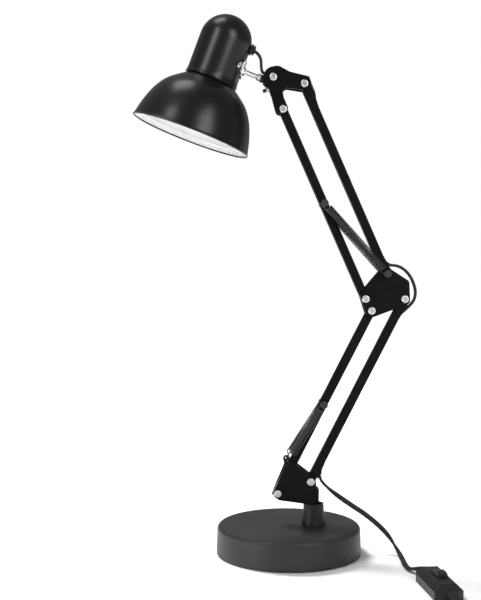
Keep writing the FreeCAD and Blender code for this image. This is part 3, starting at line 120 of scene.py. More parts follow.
class LampColours(bpy.types.PropertyGroup):
    """Colours of the finishes, as linear values."""

    paint: bpy.props.FloatVectorProperty(
        name="Paint", description="Satin black paint of arms, brackets and shade",
        default=(0.0085, 0.0085, 0.0095), size=3, min=0.0, max=1.0, subtype="COLOR")
    base_coat: bpy.props.FloatVectorProperty(
        name="Base coat", description="Fine textured coat of the base", default=(0.03, 0.03, 0.032),
        size=3, min=0.0, max=1.0, subtype="COLOR")
    enamel: bpy.props.FloatVectorProperty(
        name="Enamel", description="White enamel inside the shade", default=(0.88, 0.88, 0.87),
        size=3, min=0.0, max=1.0, subtype="COLOR")
    plastic: bpy.props.FloatVectorProperty(
        name="Plastic", description="Moulded black plastic", default=(0.014, 0.014, 0.015),
        size=3, min=0.0, max=1.0, subtype="COLOR")
    jacket: bpy.props.FloatVectorProperty(
        name="Cord jacket", description="Glossy black jacket of the cord", default=(0.008, 0.008, 0.009),
        size=3, min=0.0, max=1.0, subtype="COLOR")


# ---------------------------------------------------------------- finishes
WEAR_SCALE = 600.0          # patches per metre along worn edges
WORN_COLOUR = (0.16, 0.16, 0.165, 1)


def node_group(name, inputs, outputs):
    """An empty shader node group with its named sockets, and its two end nodes."""
    group = bpy.data.node_groups.new(name, "ShaderNodeTree")
    for side, sockets in (("INPUT", inputs), ("OUTPUT", outputs)):
        for label, kind in sockets:
            group.interface.new_socket(name=label, in_out=side, socket_type="NodeSocket" + kind)
    return group, group.nodes.new("NodeGroupInput"), group.nodes.new("NodeGroupOutput")


def add(tree, kind, **values):
    """A node of a tree. A value goes to the input socket of its name, or else to the property."""
    node = tree.nodes.new("ShaderNode" + kind)
    for key, value in values.items():
        label = key.replace("_", " ").title()
        if label in node.inputs:
            node.inputs[label].default_value = value
        else:
            setattr(node, key, value)
    return node


def grain_group():
    """Grain: two scales of noise vary a colour between two values and a roughness between two values.

    Height is the fine noise, from 0 to 1. Colour leans to Dark where the coarse noise is low, and roughness
    follows the mean of the two."""
    group, source, result = node_group(
        "Grain",
        [("Vector", "Vector"), ("Light", "Color"), ("Dark", "Color"), ("Fine", "Float"), ("Coarse", "Float"),
         ("Smooth", "Float"), ("Rough", "Float")],
        [("Color", "Color"), ("Roughness", "Float"), ("Height", "Float")])
    link = group.links.new
    fine = add(group, "TexNoise", detail=4.0, roughness=0.6)
    coarse = add(group, "TexNoise", detail=3.0, roughness=0.5)
    for texture, scale in ((fine, "Fine"), (coarse, "Coarse")):
        link(source.outputs["Vector"], texture.inputs["Vector"])
        link(source.outputs[scale], texture.inputs["Scale"])
    contrast = add(group, "MapRange", from_min=0.35, from_max=0.65)
    link(coarse.outputs["Fac"], contrast.inputs["Value"])
    blend = add(group, "Mix", data_type="RGBA")
    link(contrast.outputs["Result"], blend.inputs["Factor"])
    link(source.outputs["Dark"], blend.inputs[6])
    link(source.outputs["Light"], blend.inputs[7])
    link(blend.outputs[2], result.inputs["Color"])
    half_coarse = add(group, "Math", operation="MULTIPLY")
    half_coarse.inputs[1].default_value = 0.5
    mean = add(group, "Math", operation="MULTIPLY_ADD")
    mean.inputs[1].default_value = 0.5
    link(contrast.outputs["Result"], half_coarse.inputs[0])
    link(fine.outputs["Fac"], mean.inputs[0])
    link(half_coarse.outputs["Value"], mean.inputs[2])
    spread = add(group, "MapRange")
    link(mean.outputs["Value"], spread.inputs["Value"])
    link(source.outputs["Smooth"], spread.inputs["To Min"])
    link(source.outputs["Rough"], spread.inputs["To Max"])
    link(spread.outputs["Result"], result.inputs["Roughness"])
    link(fine.outputs["Fac"], result.inputs["Height"])
    return group


def wear_group():
    """Edge wear: pointiness above a threshold, broken up by noise, gives a mask of bright edges."""
    group, source, result = node_group(
        "Edge wear", [("Vector", "Vector"), ("Scale", "Float"), ("Amount", "Float")], [("Mask", "Float")])
    link = group.links.new
    geometry = add(group, "NewGeometry")
    edge = add(group, "MapRange", from_min=0.52, from_max=0.60)
    link(geometry.outputs["Pointiness"], edge.inputs["Value"])
    breaks = add(group, "TexNoise", detail=5.0, roughness=0.7)
    link(source.outputs["Vector"], breaks.inputs["Vector"])
    link(source.outputs["Scale"], breaks.inputs["Scale"])
    gate = add(group, "MapRange", from_min=0.48, from_max=0.62)
    link(breaks.outputs["Fac"], gate.inputs["Value"])
    patch = add(group, "Math", operation="MULTIPLY")
    link(edge.outputs["Result"], patch.inputs[0])
    link(gate.outputs["Result"], patch.inputs[1])
    scaled = add(group, "Math", operation="MULTIPLY")
    link(patch.outputs["Value"], scaled.inputs[0])
    link(source.outputs["Amount"], scaled.inputs[1])
    link(scaled.outputs["Value"], result.inputs["Mask"])
    return group


def finish(name, light, dark, fine, coarse, smooth, rough, bump, metal=0.0, coat=0.0, wear=0.0, stretch=None,
           use_uv=False, specular=0.5):
    """A material: Principled fed by the Grain group, a Bump of its height, and Edge wear where asked.

    light and dark are linear colours; fine and coarse are noise scales per metre; smooth and rough are the
    ends of the roughness; bump is the relief in metres."""
    material = bpy.data.materials.new(name)
    material.use_nodes = True
    tree = material.node_tree
    link = tree.links.new
    shader = tree.nodes["Principled BSDF"]
    shader.inputs["Metallic"].default_value = metal
    shader.inputs["Coat Weight"].default_value = coat
    shader.inputs["Coat Roughness"].default_value = 0.12
    shader.inputs["Specular IOR Level"].default_value = specular
    place = add(tree, "TexCoord")
    mapping = add(tree, "Mapping")
    mapping.inputs["Scale"].default_value = stretch or (1, 1, 1)
    link(place.outputs["UV" if use_uv else "Object"], mapping.inputs["Vector"])
    grain = add(tree, "Group", node_tree=bpy.data.node_groups["Grain"])
    for label, value in (("Light", (*light, 1)), ("Dark", (*dark, 1)), ("Fine", fine), ("Coarse", coarse),
                         ("Smooth", smooth), ("Rough", rough)):
        grain.inputs[label].default_value = value
    link(mapping.outputs["Vector"], grain.inputs["Vector"])
    link(grain.outputs["Roughness"], shader.inputs["Roughness"])
    dents = add(tree, "Bump", distance=bump, strength=1.0)
    link(grain.outputs["Height"], dents.inputs["Height"])
    link(dents.outputs["Normal"], shader.inputs["Normal"])
    if wear:
        edges = add(tree, "Group", node_tree=bpy.data.node_groups["Edge wear"])
        edges.inputs["Scale"].default_value = WEAR_SCALE
        edges.inputs["Amount"].default_value = wear
        link(mapping.outputs["Vector"], edges.inputs["Vector"])
        bare = add(tree, "Mix", data_type="RGBA")
        bare.inputs[7].default_value = WORN_COLOUR
        link(edges.outputs["Mask"], bare.inputs["Factor"])
        link(grain.outputs["Color"], bare.inputs[6])
        link(bare.outputs[2], shader.inputs["Base Color"])
    else:
        link(grain.outputs["Color"], shader.inputs["Base Color"])
    return material


def shade_of(colour, factor):
    """A colour made darker or lighter by a factor."""
    return tuple(min(1.0, channel * factor) for channel in colour)


def make_finishes(colours):
    """All the materials, by name."""
    grain_group()
    wear_group()
    paint, coat, plastic = colours.paint, colours.base_coat, colours.plastic
    finish("satin_black_paint", shade_of(paint, 0.5), shade_of(paint, 0.3), 700, 40, 0.30, 0.42, 0.000003,
           specular=0.09)
    finish("shade_black_paint", shade_of(paint, 0.55), shade_of(paint, 0.4), 900, 9, 0.26, 0.32, 0.000002,
           specular=0.34, wear=0.12)
    finish("textured_base_coat", shade_of(coat, 0.78), shade_of(coat, 0.58), 1500, 25, 0.40, 0.50, 0.00003,
           specular=0.34, wear=0.15)
    finish("white_enamel", colours.enamel, shade_of(colours.enamel, 0.95), 1200, 18, 0.28, 0.38, 0.000006,
           coat=0.3)
    finish("zinc_plate", (0.62, 0.615, 0.60), (0.56, 0.555, 0.54), 1800, 30, 0.32, 0.38, 0.000001, metal=1.0)
    finish("thread_steel", (0.86, 0.86, 0.85), (0.72, 0.72, 0.71), 2400, 200, 0.22, 0.34, 0.000002, metal=1.0)
    finish("polished_chrome", (0.92, 0.92, 0.92), (0.86, 0.86, 0.87), 500, 30, 0.16, 0.24, 0.000001,
           metal=1.0)
    finish("blackened_spring_steel", (0.022, 0.022, 0.024), (0.014, 0.014, 0.015), 900, 60, 0.36, 0.44,
           0.000003, metal=0.2)
    finish("moulded_black_plastic", shade_of(plastic, 1.2), shade_of(plastic, 0.8), 1700, 60, 0.34, 0.46,
           0.000015, specular=0.25)
    finish("natural_nylon", (0.72, 0.71, 0.66), (0.62, 0.61, 0.56), 900, 90, 0.42, 0.52, 0.00002)
    finish("felted_pad", (0.045, 0.045, 0.046), (0.018, 0.018, 0.019), 2600, 200, 0.85, 0.97, 0.0002)
    finish("plain_brass", (0.78, 0.58, 0.27), (0.62, 0.45, 0.20), 1200, 120, 0.20, 0.36, 0.00001, metal=1.0)
    finish("cast_iron", (0.13, 0.13, 0.13), (0.06, 0.06, 0.06), 700, 50, 0.6, 0.8, 0.0003, metal=0.5)
    finish("cord_jacket", shade_of(colours.jacket, 1.2), shade_of(colours.jacket, 0.8), 500, 40, 0.24, 0.34,
           0.00001, stretch=(1, 0.15, 1), use_uv=True, specular=0.35)
    finish("inner_cord_jacket", (0.010, 0.010, 0.011), (0.006, 0.006, 0.007), 900, 60, 0.26, 0.36, 0.00002)


# the nodes that keep their CAD shape, by finish
CARRIED = {
    "satin_black_paint": ["foot_front_plate", "foot_rear_plate", "elbow_front_plate", "elbow_rear_plate",
                          "head_front_plate", "head_rear_plate", "clamp_plate", "lower_left_tube",
                          "lower_right_tube", "upper_left_tube", "upper_right_tube", "swivel_post"],
    "zinc_plate": ["base_plate", "base_screws", "socket_nut", "foot_screws", "foot_nuts", "elbow_screws",
                   "elbow_nuts", "head_screws", "head_nuts", "clamp_screw", "saddle_screws", "stem_nuts"],
    "blackened_spring_steel": ["lower_left_spring_pin", "upper_left_spring_pin", "elbow_spring_pin"],
    "polished_chrome": ["hinge_saddle"],
    "cast_iron": ["base_weight"],
    "moulded_black_plastic": ["clamp_cap", "swivel_block", "shade_ring", "cord_gland", "lampholder_body",
                              "switch_base", "switch_cover", "switch_rocker", "plug_body"],
    "natural_nylon": ["lower_left_bushes", "lower_right_bushes", "upper_left_bushes", "upper_right_bushes"],
    "felted_pad": ["base_pad"],
    "plain_brass": ["lampholder_contacts", "plug_pins"],
    "inner_cord_jacket": ["upper_arm_cord", "lower_arm_cord"],
}


# ---------------------------------------------------------------- surfaces
def surface(name, points, wrap_rows=False, materials=(), second_rows=(0, 0), caps=False, weld=True,
            sharp=35.0):
    """A mesh over a grid of points, rows by columns by 3; columns always close round.

    Face (i, j) joins (i, j), (i, j+1), (i+1, j+1), (i+1, j). The rows of second_rows take the second
    material. The UV map holds the distance along the rows and round the columns, in metres."""
    rows, columns = points.shape[:2]
    last = rows if wrap_rows else rows - 1
    i, j = np.meshgrid(np.arange(last), np.arange(columns), indexing="ij")
    down, across = (i + 1) % rows, (j + 1) % columns
    corners = [(i, j), (i, across), (down, across), (down, j)]
    faces = np.stack([line * columns + column for line, column in corners], -1).reshape(-1, 4)
    polygons = faces.tolist()
    if caps:
        polygons += [list(range(columns))[::-1], list(range((rows - 1) * columns, rows * columns))]
    mesh = bpy.data.meshes.new(name)
    mesh.from_pydata(points.reshape(-1, 3).tolist(), [], polygons)
    for material in materials:
        mesh.materials.append(bpy.data.materials[material])
    row = i.reshape(-1)
    index = np.zeros(len(polygons), np.int32)
    index[:len(row)] = (row >= second_rows[0]) & (row < second_rows[1])
    mesh.polygons.foreach_set("material_index", index)
    step_along = np.linalg.norm(np.roll(points, -1, 0) - points, axis=2).mean(1)
    along = np.concatenate(([0.0], np.cumsum(step_along)))
    step_round = np.linalg.norm(np.roll(points, -1, 1) - points, axis=2).mean(0)
    around = np.concatenate(([0.0], np.cumsum(step_round)))
    quads_uv = np.stack([np.stack([around[j + b], along[i + a]], -1)
                         for a, b in ((0, 0), (0, 1), (1, 1), (1, 0))], 2).reshape(-1, 2)
    coordinates = np.zeros((len(mesh.loops), 2))
    coordinates[:len(quads_uv)] = quads_uv
    mesh.uv_layers.new(name="surface").data.foreach_set("uv", coordinates.reshape(-1).astype(np.float32))
    mesh.polygons.foreach_set("use_smooth", np.ones(len(mesh.polygons), bool))
    clean(mesh, weld)
    mesh.set_sharp_from_angle(angle=math.radians(sharp))
    piece = bpy.data.objects.new(name, mesh)
    bpy.context.scene.collection.objects.link(piece)
    return piece


def clean(mesh, weld):
    """Closes poles by merging doubles where asked, and turns the faces outwards."""
    work = bmesh.new()
    work.from_mesh(mesh)
    if weld:
        bmesh.ops.remove_doubles(work, verts=work.verts, dist=1e-7)
    bmesh.ops.recalc_face_normals(work, faces=work.faces)
    work.to_mesh(mesh)
    work.free()
    mesh.validate()


def smooth_line(points, steps):
    """Catmull-Rom line through points, with steps per span.

    Each span is 0.5 (2b + (c-a) t + (2a-5b+4c-d) t2 + (3b-a-3c+d) t3)."""
    points = np.asarray(points, float)
    ring = np.concatenate((2 * points[:1] - points[1:2], points, 2 * points[-1:] - points[-2:-1]))
    t = np.linspace(0, 1, steps, endpoint=False)[None, :, None]
    a, b, c, d = (ring[k:len(ring) - 3 + k, None] for k in range(4))
    square = 2 * a - 5 * b + 4 * c - d
    cube = 3 * b - a - 3 * c + d
    spans = 0.5 * (2 * b + (c - a) * t + square * t ** 2 + cube * t ** 3)
    return np.concatenate((spans.reshape(-1, points.shape[1]), points[-1:]))


def arc(centre, radius, first, last, steps):
    """Points of an arc: centre + radius (cos a, sin a), a in degrees from first to last."""
    angle = np.radians(np.linspace(first, last, steps))
    return np.stack((centre[0] + radius * np.cos(angle), centre[1] + radius * np.sin(angle)), 1)


def turned(profile, columns):
    """Surface of revolution: (r cos a, r sin a, h) for a profile of (r, h)."""
    angle = np.linspace(0, 2 * math.pi, columns, endpoint=False)
    radius = profile[:, :1]
    height = np.broadcast_to(profile[:, 1:], (len(profile), columns))
    return np.stack((radius * np.cos(angle), radius * np.sin(angle), height), -1)


def from_shade(points):
    """Points of the shade's own upright frame, in mm, turned by the tilt about y and moved to its foot."""
    x, y, z = points[..., 0], points[..., 1], points[..., 2]
    cos, sin = math.cos(SHADE_TILT), math.sin(SHADE_TILT)
    return np.stack((SHADE_FOOT[0] + x * cos + z * sin, y, SHADE_FOOT[1] - x * sin + z * cos), -1) * MM


def in_shade(x, z):
    """A point of the shade's own frame as (x, z) in the swing plane, in mm."""
    place = from_shade(np.array((x, 0.0, z))) / MM
    return place[0], place[2]


def on_arm(pivot, lean, across, distance):
    """A point beside an arm, (x, z) in mm: across to its right side, and along it."""
    angle = math.radians(lean)
    right = np.array((math.cos(angle), -math.sin(angle)))
    ahead = np.array((math.sin(angle), math.cos(angle)))
    return tuple(pivot + across * right + distance * ahead)


def swept(path, section, sideways, scale=None, roll=0.0):
    """A section carried along a path: point + s (a side + b up), where up = side x tangent.

    side is given or, where it is None, level: tangent x z. Both are turned about the tangent by the roll
    at each point, in radians."""
    tangent = np.gradient(path, axis=0)
    tangent /= np.linalg.norm(tangent, axis=1, keepdims=True)
    if sideways is None:
        side = np.cross(tangent, (0, 0, 1))
    else:
        side = np.broadcast_to(np.asarray(sideways, float), path.shape)
    side = side - tangent * np.sum(side * tangent, axis=1, keepdims=True)
    side = side / np.linalg.norm(side, axis=1, keepdims=True)
    up = np.cross(side, tangent)
    angle = np.broadcast_to(roll, len(path))[:, None]
    side, up = side * np.cos(angle) + up * np.sin(angle), up * np.cos(angle) - side * np.sin(angle)
    size = np.ones(len(path)) if scale is None else np.asarray(scale)
    ring = section[None, :, :1] * side[:, None] + section[None, :, 1:] * up[:, None]
    return path[:, None] + size[:, None, None] * ring


def twin_section(width, thickness, steps=22):
    """Twin cord: two round cores, x = w tanh(3 cos a) + r cos a, y = r sin a, pinched at the middle.

    Here r is a core's radius and w is half the width less r."""
    angle = np.linspace(0, 2 * math.pi, steps, endpoint=False) + math.pi / steps
    core = thickness / 2
    across = (width / 2 - core) * np.tanh(3 * np.cos(angle)) + core * np.cos(angle)
    pinch = 1 - 0.24 * np.exp(-(across / (0.4 * core)) ** 2)
    return np.stack((across, core * np.sin(angle) * pinch), 1)


def spline_points(name, points, resolution):
    """The line of one smooth NURBS spline with these control points, read from Blender."""
    curve = bpy.data.curves.new(name, "CURVE")
    curve.dimensions = "3D"
    curve.resolution_u = resolution
    spline = curve.splines.new("NURBS")
    spline.points.add(len(points) - 1)
    flat = np.concatenate((np.asarray(points, float), np.ones((len(points), 1))), 1)
    spline.points.foreach_set("co", flat.reshape(-1))
    spline.order_u = 3
    spline.use_endpoint_u = True
    spline.resolution_u = resolution
    holder = bpy.data.objects.new(name, curve)
    bpy.context.scene.collection.objects.link(holder)
    line = bpy.data.meshes.new_from_object(holder)
    found = np.empty(len(line.vertices) * 3)
    line.vertices.foreach_get("co", found)
    bpy.data.objects.remove(holder)
    bpy.data.curves.remove(curve)
    bpy.data.meshes.remove(line)
    return found.reshape(-1, 3)


def travelled(path):
    """Distance along a path at each of its points."""
    return np.concatenate(([0.0], np.cumsum(np.linalg.norm(np.diff(path, axis=0), axis=1))))


def weights_along(piece, columns, share):
    """Each ring of a swept piece takes its own blend weight."""
    attribute = piece.data.attributes["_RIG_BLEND"]
    attribute.data.foreach_set("value", np.repeat(share, columns).astype(np.float32))


def eased(share):
    """Smooth step 3 s2 - 2 s3 of a share kept between 0 and 1."""
    share = np.clip(share, 0, 1)
    return share * share * (3 - 2 * share)


# ---------------------------------------------------------------- shade
class LAMP_OT_shade(bpy.types.Operator):
    """Bell with its rolled rim and white inside, and the neck cap with its dome."""

    bl_idname = "lamp.shade"
    bl_label = "Shade"

    def execute(self, context):
        sizes = context.scene.lamp_sizes
        wall = sizes.shade_wall / MM
        stations = [(62.5, 0.0), (58.3, 17.0), (52.1, 33.0), (44.0, 45.0), (34.7, 53.0), (27.0, 58.5)]
        outer = smooth_line(stations, 14)[1:]
        slope = np.gradient(outer, axis=0)
        inward = np.stack((-slope[:, 1], slope[:, 0]), 1)
        inner = outer + wall * inward / np.linalg.norm(inward, axis=1, keepdims=True)
        rings = sum(np.exp(-((inner[:, 1] - height) / 0.7) ** 2) for height in (6.0, 14.0, 27.0, 39.0))
        inner = inner - np.stack((rings, np.zeros_like(rings)), 1) * sizes.ring_depth / MM
        collar = np.array([(26.0, 59.5), (26.0, 66.9), (19.7, 66.9), (19.7, 66.0), (25.2, 66.0),
                           (25.2, 59.0)])
        bead_out = arc((62.1, 0.0), 0.9, -120, 60, 9)
        bead_in = arc((62.1, 0.0), 0.9, 130, 225, 5)
        profile = np.concatenate((bead_out, outer, collar, inner[::-1], bead_in))
        white = (len(bead_out) + len(outer) + 1, len(profile) - len(bead_in))
        bell = surface("bell_of_shade", from_shade(turned(profile, 160)), wrap_rows=True,
                       materials=("shade_black_paint", "white_enamel"), second_rows=white)
        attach(bell, "shade")
        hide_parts("shade_bell")

        foot = np.array([(26.2, 60.0), (27.7, 60.0), (28.0, 60.25), (28.0, 60.7), (27.75, 61.4), (27.3, 63.0),
                         (27.02, 65.5), (27.0, 68.0), (27.0, 85.0), (27.0, 103.0)])
        dome = arc((0, 103.0), 27.0, 0, 90, 40)[1:]
        lining = arc((0, 103.0), 26.0, 90, 0, 24)
        cap_profile = np.concatenate((foot, dome, lining, [(26.0, 61.0)]))
        cap_profile[:, 0] = np.maximum(cap_profile[:, 0], 0.0)
        cap = surface("cap_of_neck", from_shade(turned(cap_profile, 128)), wrap_rows=True,
                      materials=("shade_black_paint",))
        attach(cap, "shade")
        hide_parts("neck_cap")
        return {"FINISHED"}


class LAMP_OT_base(bpy.types.Operator):
    """Round base cover with its rounded edge, and the tapered post socket."""

    bl_idname = "lamp.base"
    bl_label = "Base"

    def execute(self, context):
        edge = arc((69.75, 25.5), 4.5, 2, 90, 14)
        foot = [(73.9, 1.0), (74.95, 1.05), (74.97, 1.6)]
        outer = np.concatenate((foot, edge, [(60.0, 30.0), (0.0, 30.0)]))
        inner = np.array([(0.0, 28.8), (69.8, 28.8), (72.0, 28.0), (73.0, 26.0), (73.2, 24.0)])
        cover = surface("cover_of_base", turned(np.concatenate((outer, inner)), 192) * MM, wrap_rows=True,
                        materials=("textured_base_coat",))
        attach(cover, "base")
        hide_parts("base_cover")

        side = smooth_line([(12.25, 31.4), (11.4, 39.0), (10.75, 46.0), (10.5, 51.2)], 6)
        spigot = [(4.05, 18.0), (7.5, 18.0), (7.5, 30.0), (12.0, 30.0), (12.3, 30.3)]
        rim_out, rim_in = arc((9.9, 51.4), 0.6, 0, 90, 5), arc((8.4, 51.6), 0.4, 90, 180, 4)
        bore = [(8.0, 49.0), (4.05, 47.0)]
        profile = np.concatenate((spigot, side, rim_out, [(8.4, 52.0)], rim_in, bore))
        points = turned(profile, 96)
        points[..., 0] += SWIVEL_X
        socket = surface("socket_of_post", points * MM, wrap_rows=True, materials=("moulded_black_plastic",))
        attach(socket, "base")
        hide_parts("post_socket")
        return {"FINISHED"}


class LAMP_OT_stem(bpy.types.Operator):
    """Threaded stem between the neck and the swivel block, with the groove of its clip."""

    bl_idname = "lamp.stem"
    bl_label = "Stem"

    def execute(self, context):
        pitch = context.scene.lamp_sizes.thread_pitch / MM
        start, end, groove = 22.0, 57.0, (55.0, 56.0)
        core, thread_depth, groove_radius, run_out = 2.55, 0.43, 2.2, 0.6
        reach = np.linspace(start, end, 420)[:, None]
        angle = np.linspace(0, 2 * math.pi, 28, endpoint=False)[None]
        phase = (reach / pitch - angle / (2 * math.pi)) % 1.0
        ridge = 1 - np.abs(2 * phase - 1)
        fade = np.clip((reach - start) / run_out, 0, 1) * np.clip((end - reach) / run_out, 0, 1)
        radius = core + thread_depth * ridge * (0.3 + 0.7 * fade)
        radius = np.where((reach > groove[0]) & (reach < groove[1]), groove_radius, radius)
        points = np.stack((np.broadcast_to(reach, radius.shape), radius * np.cos(angle),
                           STEM_HEIGHT + radius * np.sin(angle)), -1)
        stem = surface("threaded_stem", from_shade(points), materials=("thread_steel",), caps=True,
                       weld=False, sharp=60.0)
        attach(stem, "shade")
        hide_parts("stem")
        return {"FINISHED"}


# ---------------------------------------------------------------- springs
def spring_line(length, ends_in_loop, pitch):
    """Centreline of a tension spring in (u along, v aside, w outward) mm, and its helper direction.

    A loop of radius h round the pin, a lead-out, a helix (u, R cos a, R sin a) of about length / pitch
    turns, and a loop or a hook. The helper direction turns from w on the loops to -u on the helix."""
    hook, mean, lead = 2.8, 3.4, 6.2
    tail = lead if ends_in_loop else 9.0
    turns = round((length - lead - tail) / pitch)
    t = np.radians(np.linspace(-150, 90, 40))
    loop = np.stack((-hook * np.cos(t), hook * np.sin(t), 0 * t), 1)
    a = np.linspace(0, 2 * math.pi * turns, 22 * turns)
    body_length = length - lead - tail
    helix = np.stack((lead + body_length * a / a[-1], mean * np.cos(a), mean * np.sin(a)), 1)
    lead_out = smooth_line([loop[-1], (3.2, 3.0, 0.0), helix[0]], 8)[1:-1]
    if ends_in_loop:
        far = np.stack((length + hook * np.cos(t[::-1]), hook * np.sin(t[::-1]), 0 * t), 1)
        lead_in = smooth_line([helix[-1], (length - 3.2, 3.0, 0.0), far[0]], 8)[1:-1]
    else:
        plate, hook_end = EAR_SIDE - SPRING_SIDE, 2.4
        far = smooth_line([(length - 4.4, 0.6, plate + hook_end), (length - 2.4, 0, plate + hook_end),
                           (length - 0.7, 0, plate + 1.7), (length, 0, plate), (length - 0.7, 0, plate - 1.7),
                           (length - 2.4, 0, plate - hook_end), (length - 3.6, 0, plate - hook_end)], 8)
        lead_in = smooth_line([helix[-1], (length - 7.4, 3.2, -0.8), far[0]], 10)[1:-1]
    line = np.concatenate((loop, lead_out, helix, lead_in, far))
    quarter = math.pi / 2
    turn = np.concatenate((np.zeros(len(loop)), np.linspace(0, quarter, len(lead_out)),
                           np.full(len(helix), quarter), np.linspace(quarter, 0, len(lead_in)),
                           np.zeros(len(far))))
    helper = np.stack((-np.sin(turn), 0 * turn, np.cos(turn)), 1)
    if not ends_in_loop:
        helper[-len(far):] = (0.0, 1.0, 0.0)
    return line, helper


def wire_along(line, helper, radius, steps=8):
    """Round wire: point + r (cos a n + sin a b), n = tangent x helper, b = tangent x n."""
    tangent = np.gradient(line, axis=0)
    tangent /= np.linalg.norm(tangent, axis=1, keepdims=True)
    normal = np.cross(tangent, helper)
    normal /= np.linalg.norm(normal, axis=1, keepdims=True)
    other = np.cross(tangent, normal)
    angle = np.linspace(0, 2 * math.pi, steps, endpoint=False)
    ring = np.cos(angle)[None, :, None] * normal[:, None] + np.sin(angle)[None, :, None] * other[:, None]
    return line[:, None] + radius * ring


class LAMP_OT_springs(bpy.types.Operator):
    """Four close-wound balance springs with their end loops, two to each arm section."""

    bl_idname = "lamp.springs"
    bl_label = "Springs"

    def execute(self, context):
        sizes = context.scene.lamp_sizes
        radius = sizes.spring_wire / MM / 2
        lower_pin = np.array(on_arm(FOOT_LEFT, LOWER_LEAN, 0, LOWER_SPRING_PIN))
        upper_pin = np.array(on_arm(ELBOW_LEFT, UPPER_LEAN, 0, UPPER_SPRING_PIN))
        ear = FOOT_LEFT + SPRING_EAR
        pairs = [("lower", lower_pin, ear, False, FOOT_LEFT, ("foot_bracket", "lower_left_arm")),
                 ("upper", upper_pin, ELBOW_TOP, True, ELBOW_LEFT, ("elbow", "upper_left_arm"))]
        for label, start, end, loop, pivot, bodies in pairs:
            length = np.linalg.norm(end - start)
            axial = (end - start) / length
            line, helper = spring_line(length, loop, sizes.spring_pitch / MM)
            rings = wire_along(line, helper, radius)
            u, v, w = rings[..., 0], rings[..., 1], rings[..., 2]
            x = start[0] + axial[0] * u + axial[1] * v
            z = start[1] + axial[1] * u - axial[0] * v
            share = np.clip(1 - line[:, 0] / length, 0, 1)
            arm = np.linalg.norm(start - pivot)
            here = np.linalg.norm(end + share[:, None] * (start - end) - pivot, axis=1)
            for side, sign in (("front", -1), ("rear", 1)):
                points = np.stack((x, sign * (SPRING_SIDE + w), z), -1)
                piece = surface("%s_spring_%s" % (label, side), points * MM, caps=True, weld=False,
                                materials=("blackened_spring_steel",))
                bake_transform(piece, *bodies, start=(end[0] * MM, 0, end[1] * MM),
                         end=(start[0] * MM, 0, start[1] * MM))
                weights_along(piece, rings.shape[1], np.clip(share * arm / here, 0, 1))
                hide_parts(label + "_springs")
        return {"FINISHED"}


# ---------------------------------------------------------------- cord
# the route of the part's source, in millimetres
HEAD_DROP_X = -28.9
HEAD_U_RADIUS = 4.0
OVER_BLOCK_RADIUS = 8.2
ELBOW_LOOP = [(111.7, 299.2), (119.4, 295.4), (126.0, 288.0), (130.3, 278.0), (131.4, 270.2), (129.7, 262.6)]
DESK = 1.65                 # height of the cord's middle where it lies on the desk
TO_SWITCH = [(32.3, 0, 77.5), (37.0, 0, 71.2), (46.8, 0, 62.6), (62.6, 0.5, 51.2), (84.0, 1, 37.2),
             (102.5, -3, 20.8), (111.6, -14, 6.2), (113.8, -32, DESK), (112.8, -52, DESK), (113.8, -69, 2.4),
             (118.2, -77.2, 5.2)]
SWITCH_CENTRE = np.array((131.5, -127.5, 8.0))
SWITCH_HEADING = math.radians(-83.7)
SWITCH_REACH = 29.0         # from the switch's middle to the ends of its case
RELIEF_REACH = 34.0         # from there to where the strain reliefs start
RELIEF_LENGTH = 20.0
PLUG_RELIEF = (4.5, 28.0)   # ends of the plug's strain relief, back from the cord's end
FOOT_SPAN = 39.0            # of the cord, moved by the lower arm and the foot bracket
DROP_SPAN = 75.0            # of the cord after that, moved by the foot bracket and the base
SIDE_ON = math.radians(78)  # roll that turns the cord's wide side to the front in the air
ROLL_IN = (10.0, 28.0)      # where that roll starts, and its length
ROLL_OUT = (88.0, 45.0)     # where it ends again, and its length
COIL_CENTRE = (95.0, -238.0)
COIL_START = 40.25          # radius of the outermost turn
COIL_PITCH = 5.5            # from turn to turn in a layer
COIL_TURNS = 3
COIL_POINTS = 24            # spline points in a turn
COIL_LAYER = 3.2            # rise of the second layer
TO_COIL = [(138.2, -192.0, 2.8), (135.25, -214.0, DESK)]
TO_PLUG = [(72.0, -280.2, 5.0), (54.0, -283.6, 4.4)]
PLUG_INLET = (15.0, -285.0, 6.9)


def along(centre, slope, distance):
    """A point at a distance from another, in a direction given in degrees."""
    angle = math.radians(slope)
    return (centre[0] + distance * math.cos(angle), centre[1] + distance * math.sin(angle))


def bend(centre, radius, first, last, parts=1):
    """Route points of a turn about a centre, from heading first to last, in degrees."""
    step = (last - first) / parts
    side = 1 if step > 0 else -1
    reach = radius / math.cos(math.radians(step / 2))
    return [along(centre, first + step * (k + 0.5) - 90 * side, reach) for k in range(parts)]


def between(start, end, share=0.5):
    """A point a share of the way from start to end."""
    return tuple(a + (b - a) * share for a, b in zip(start, end))


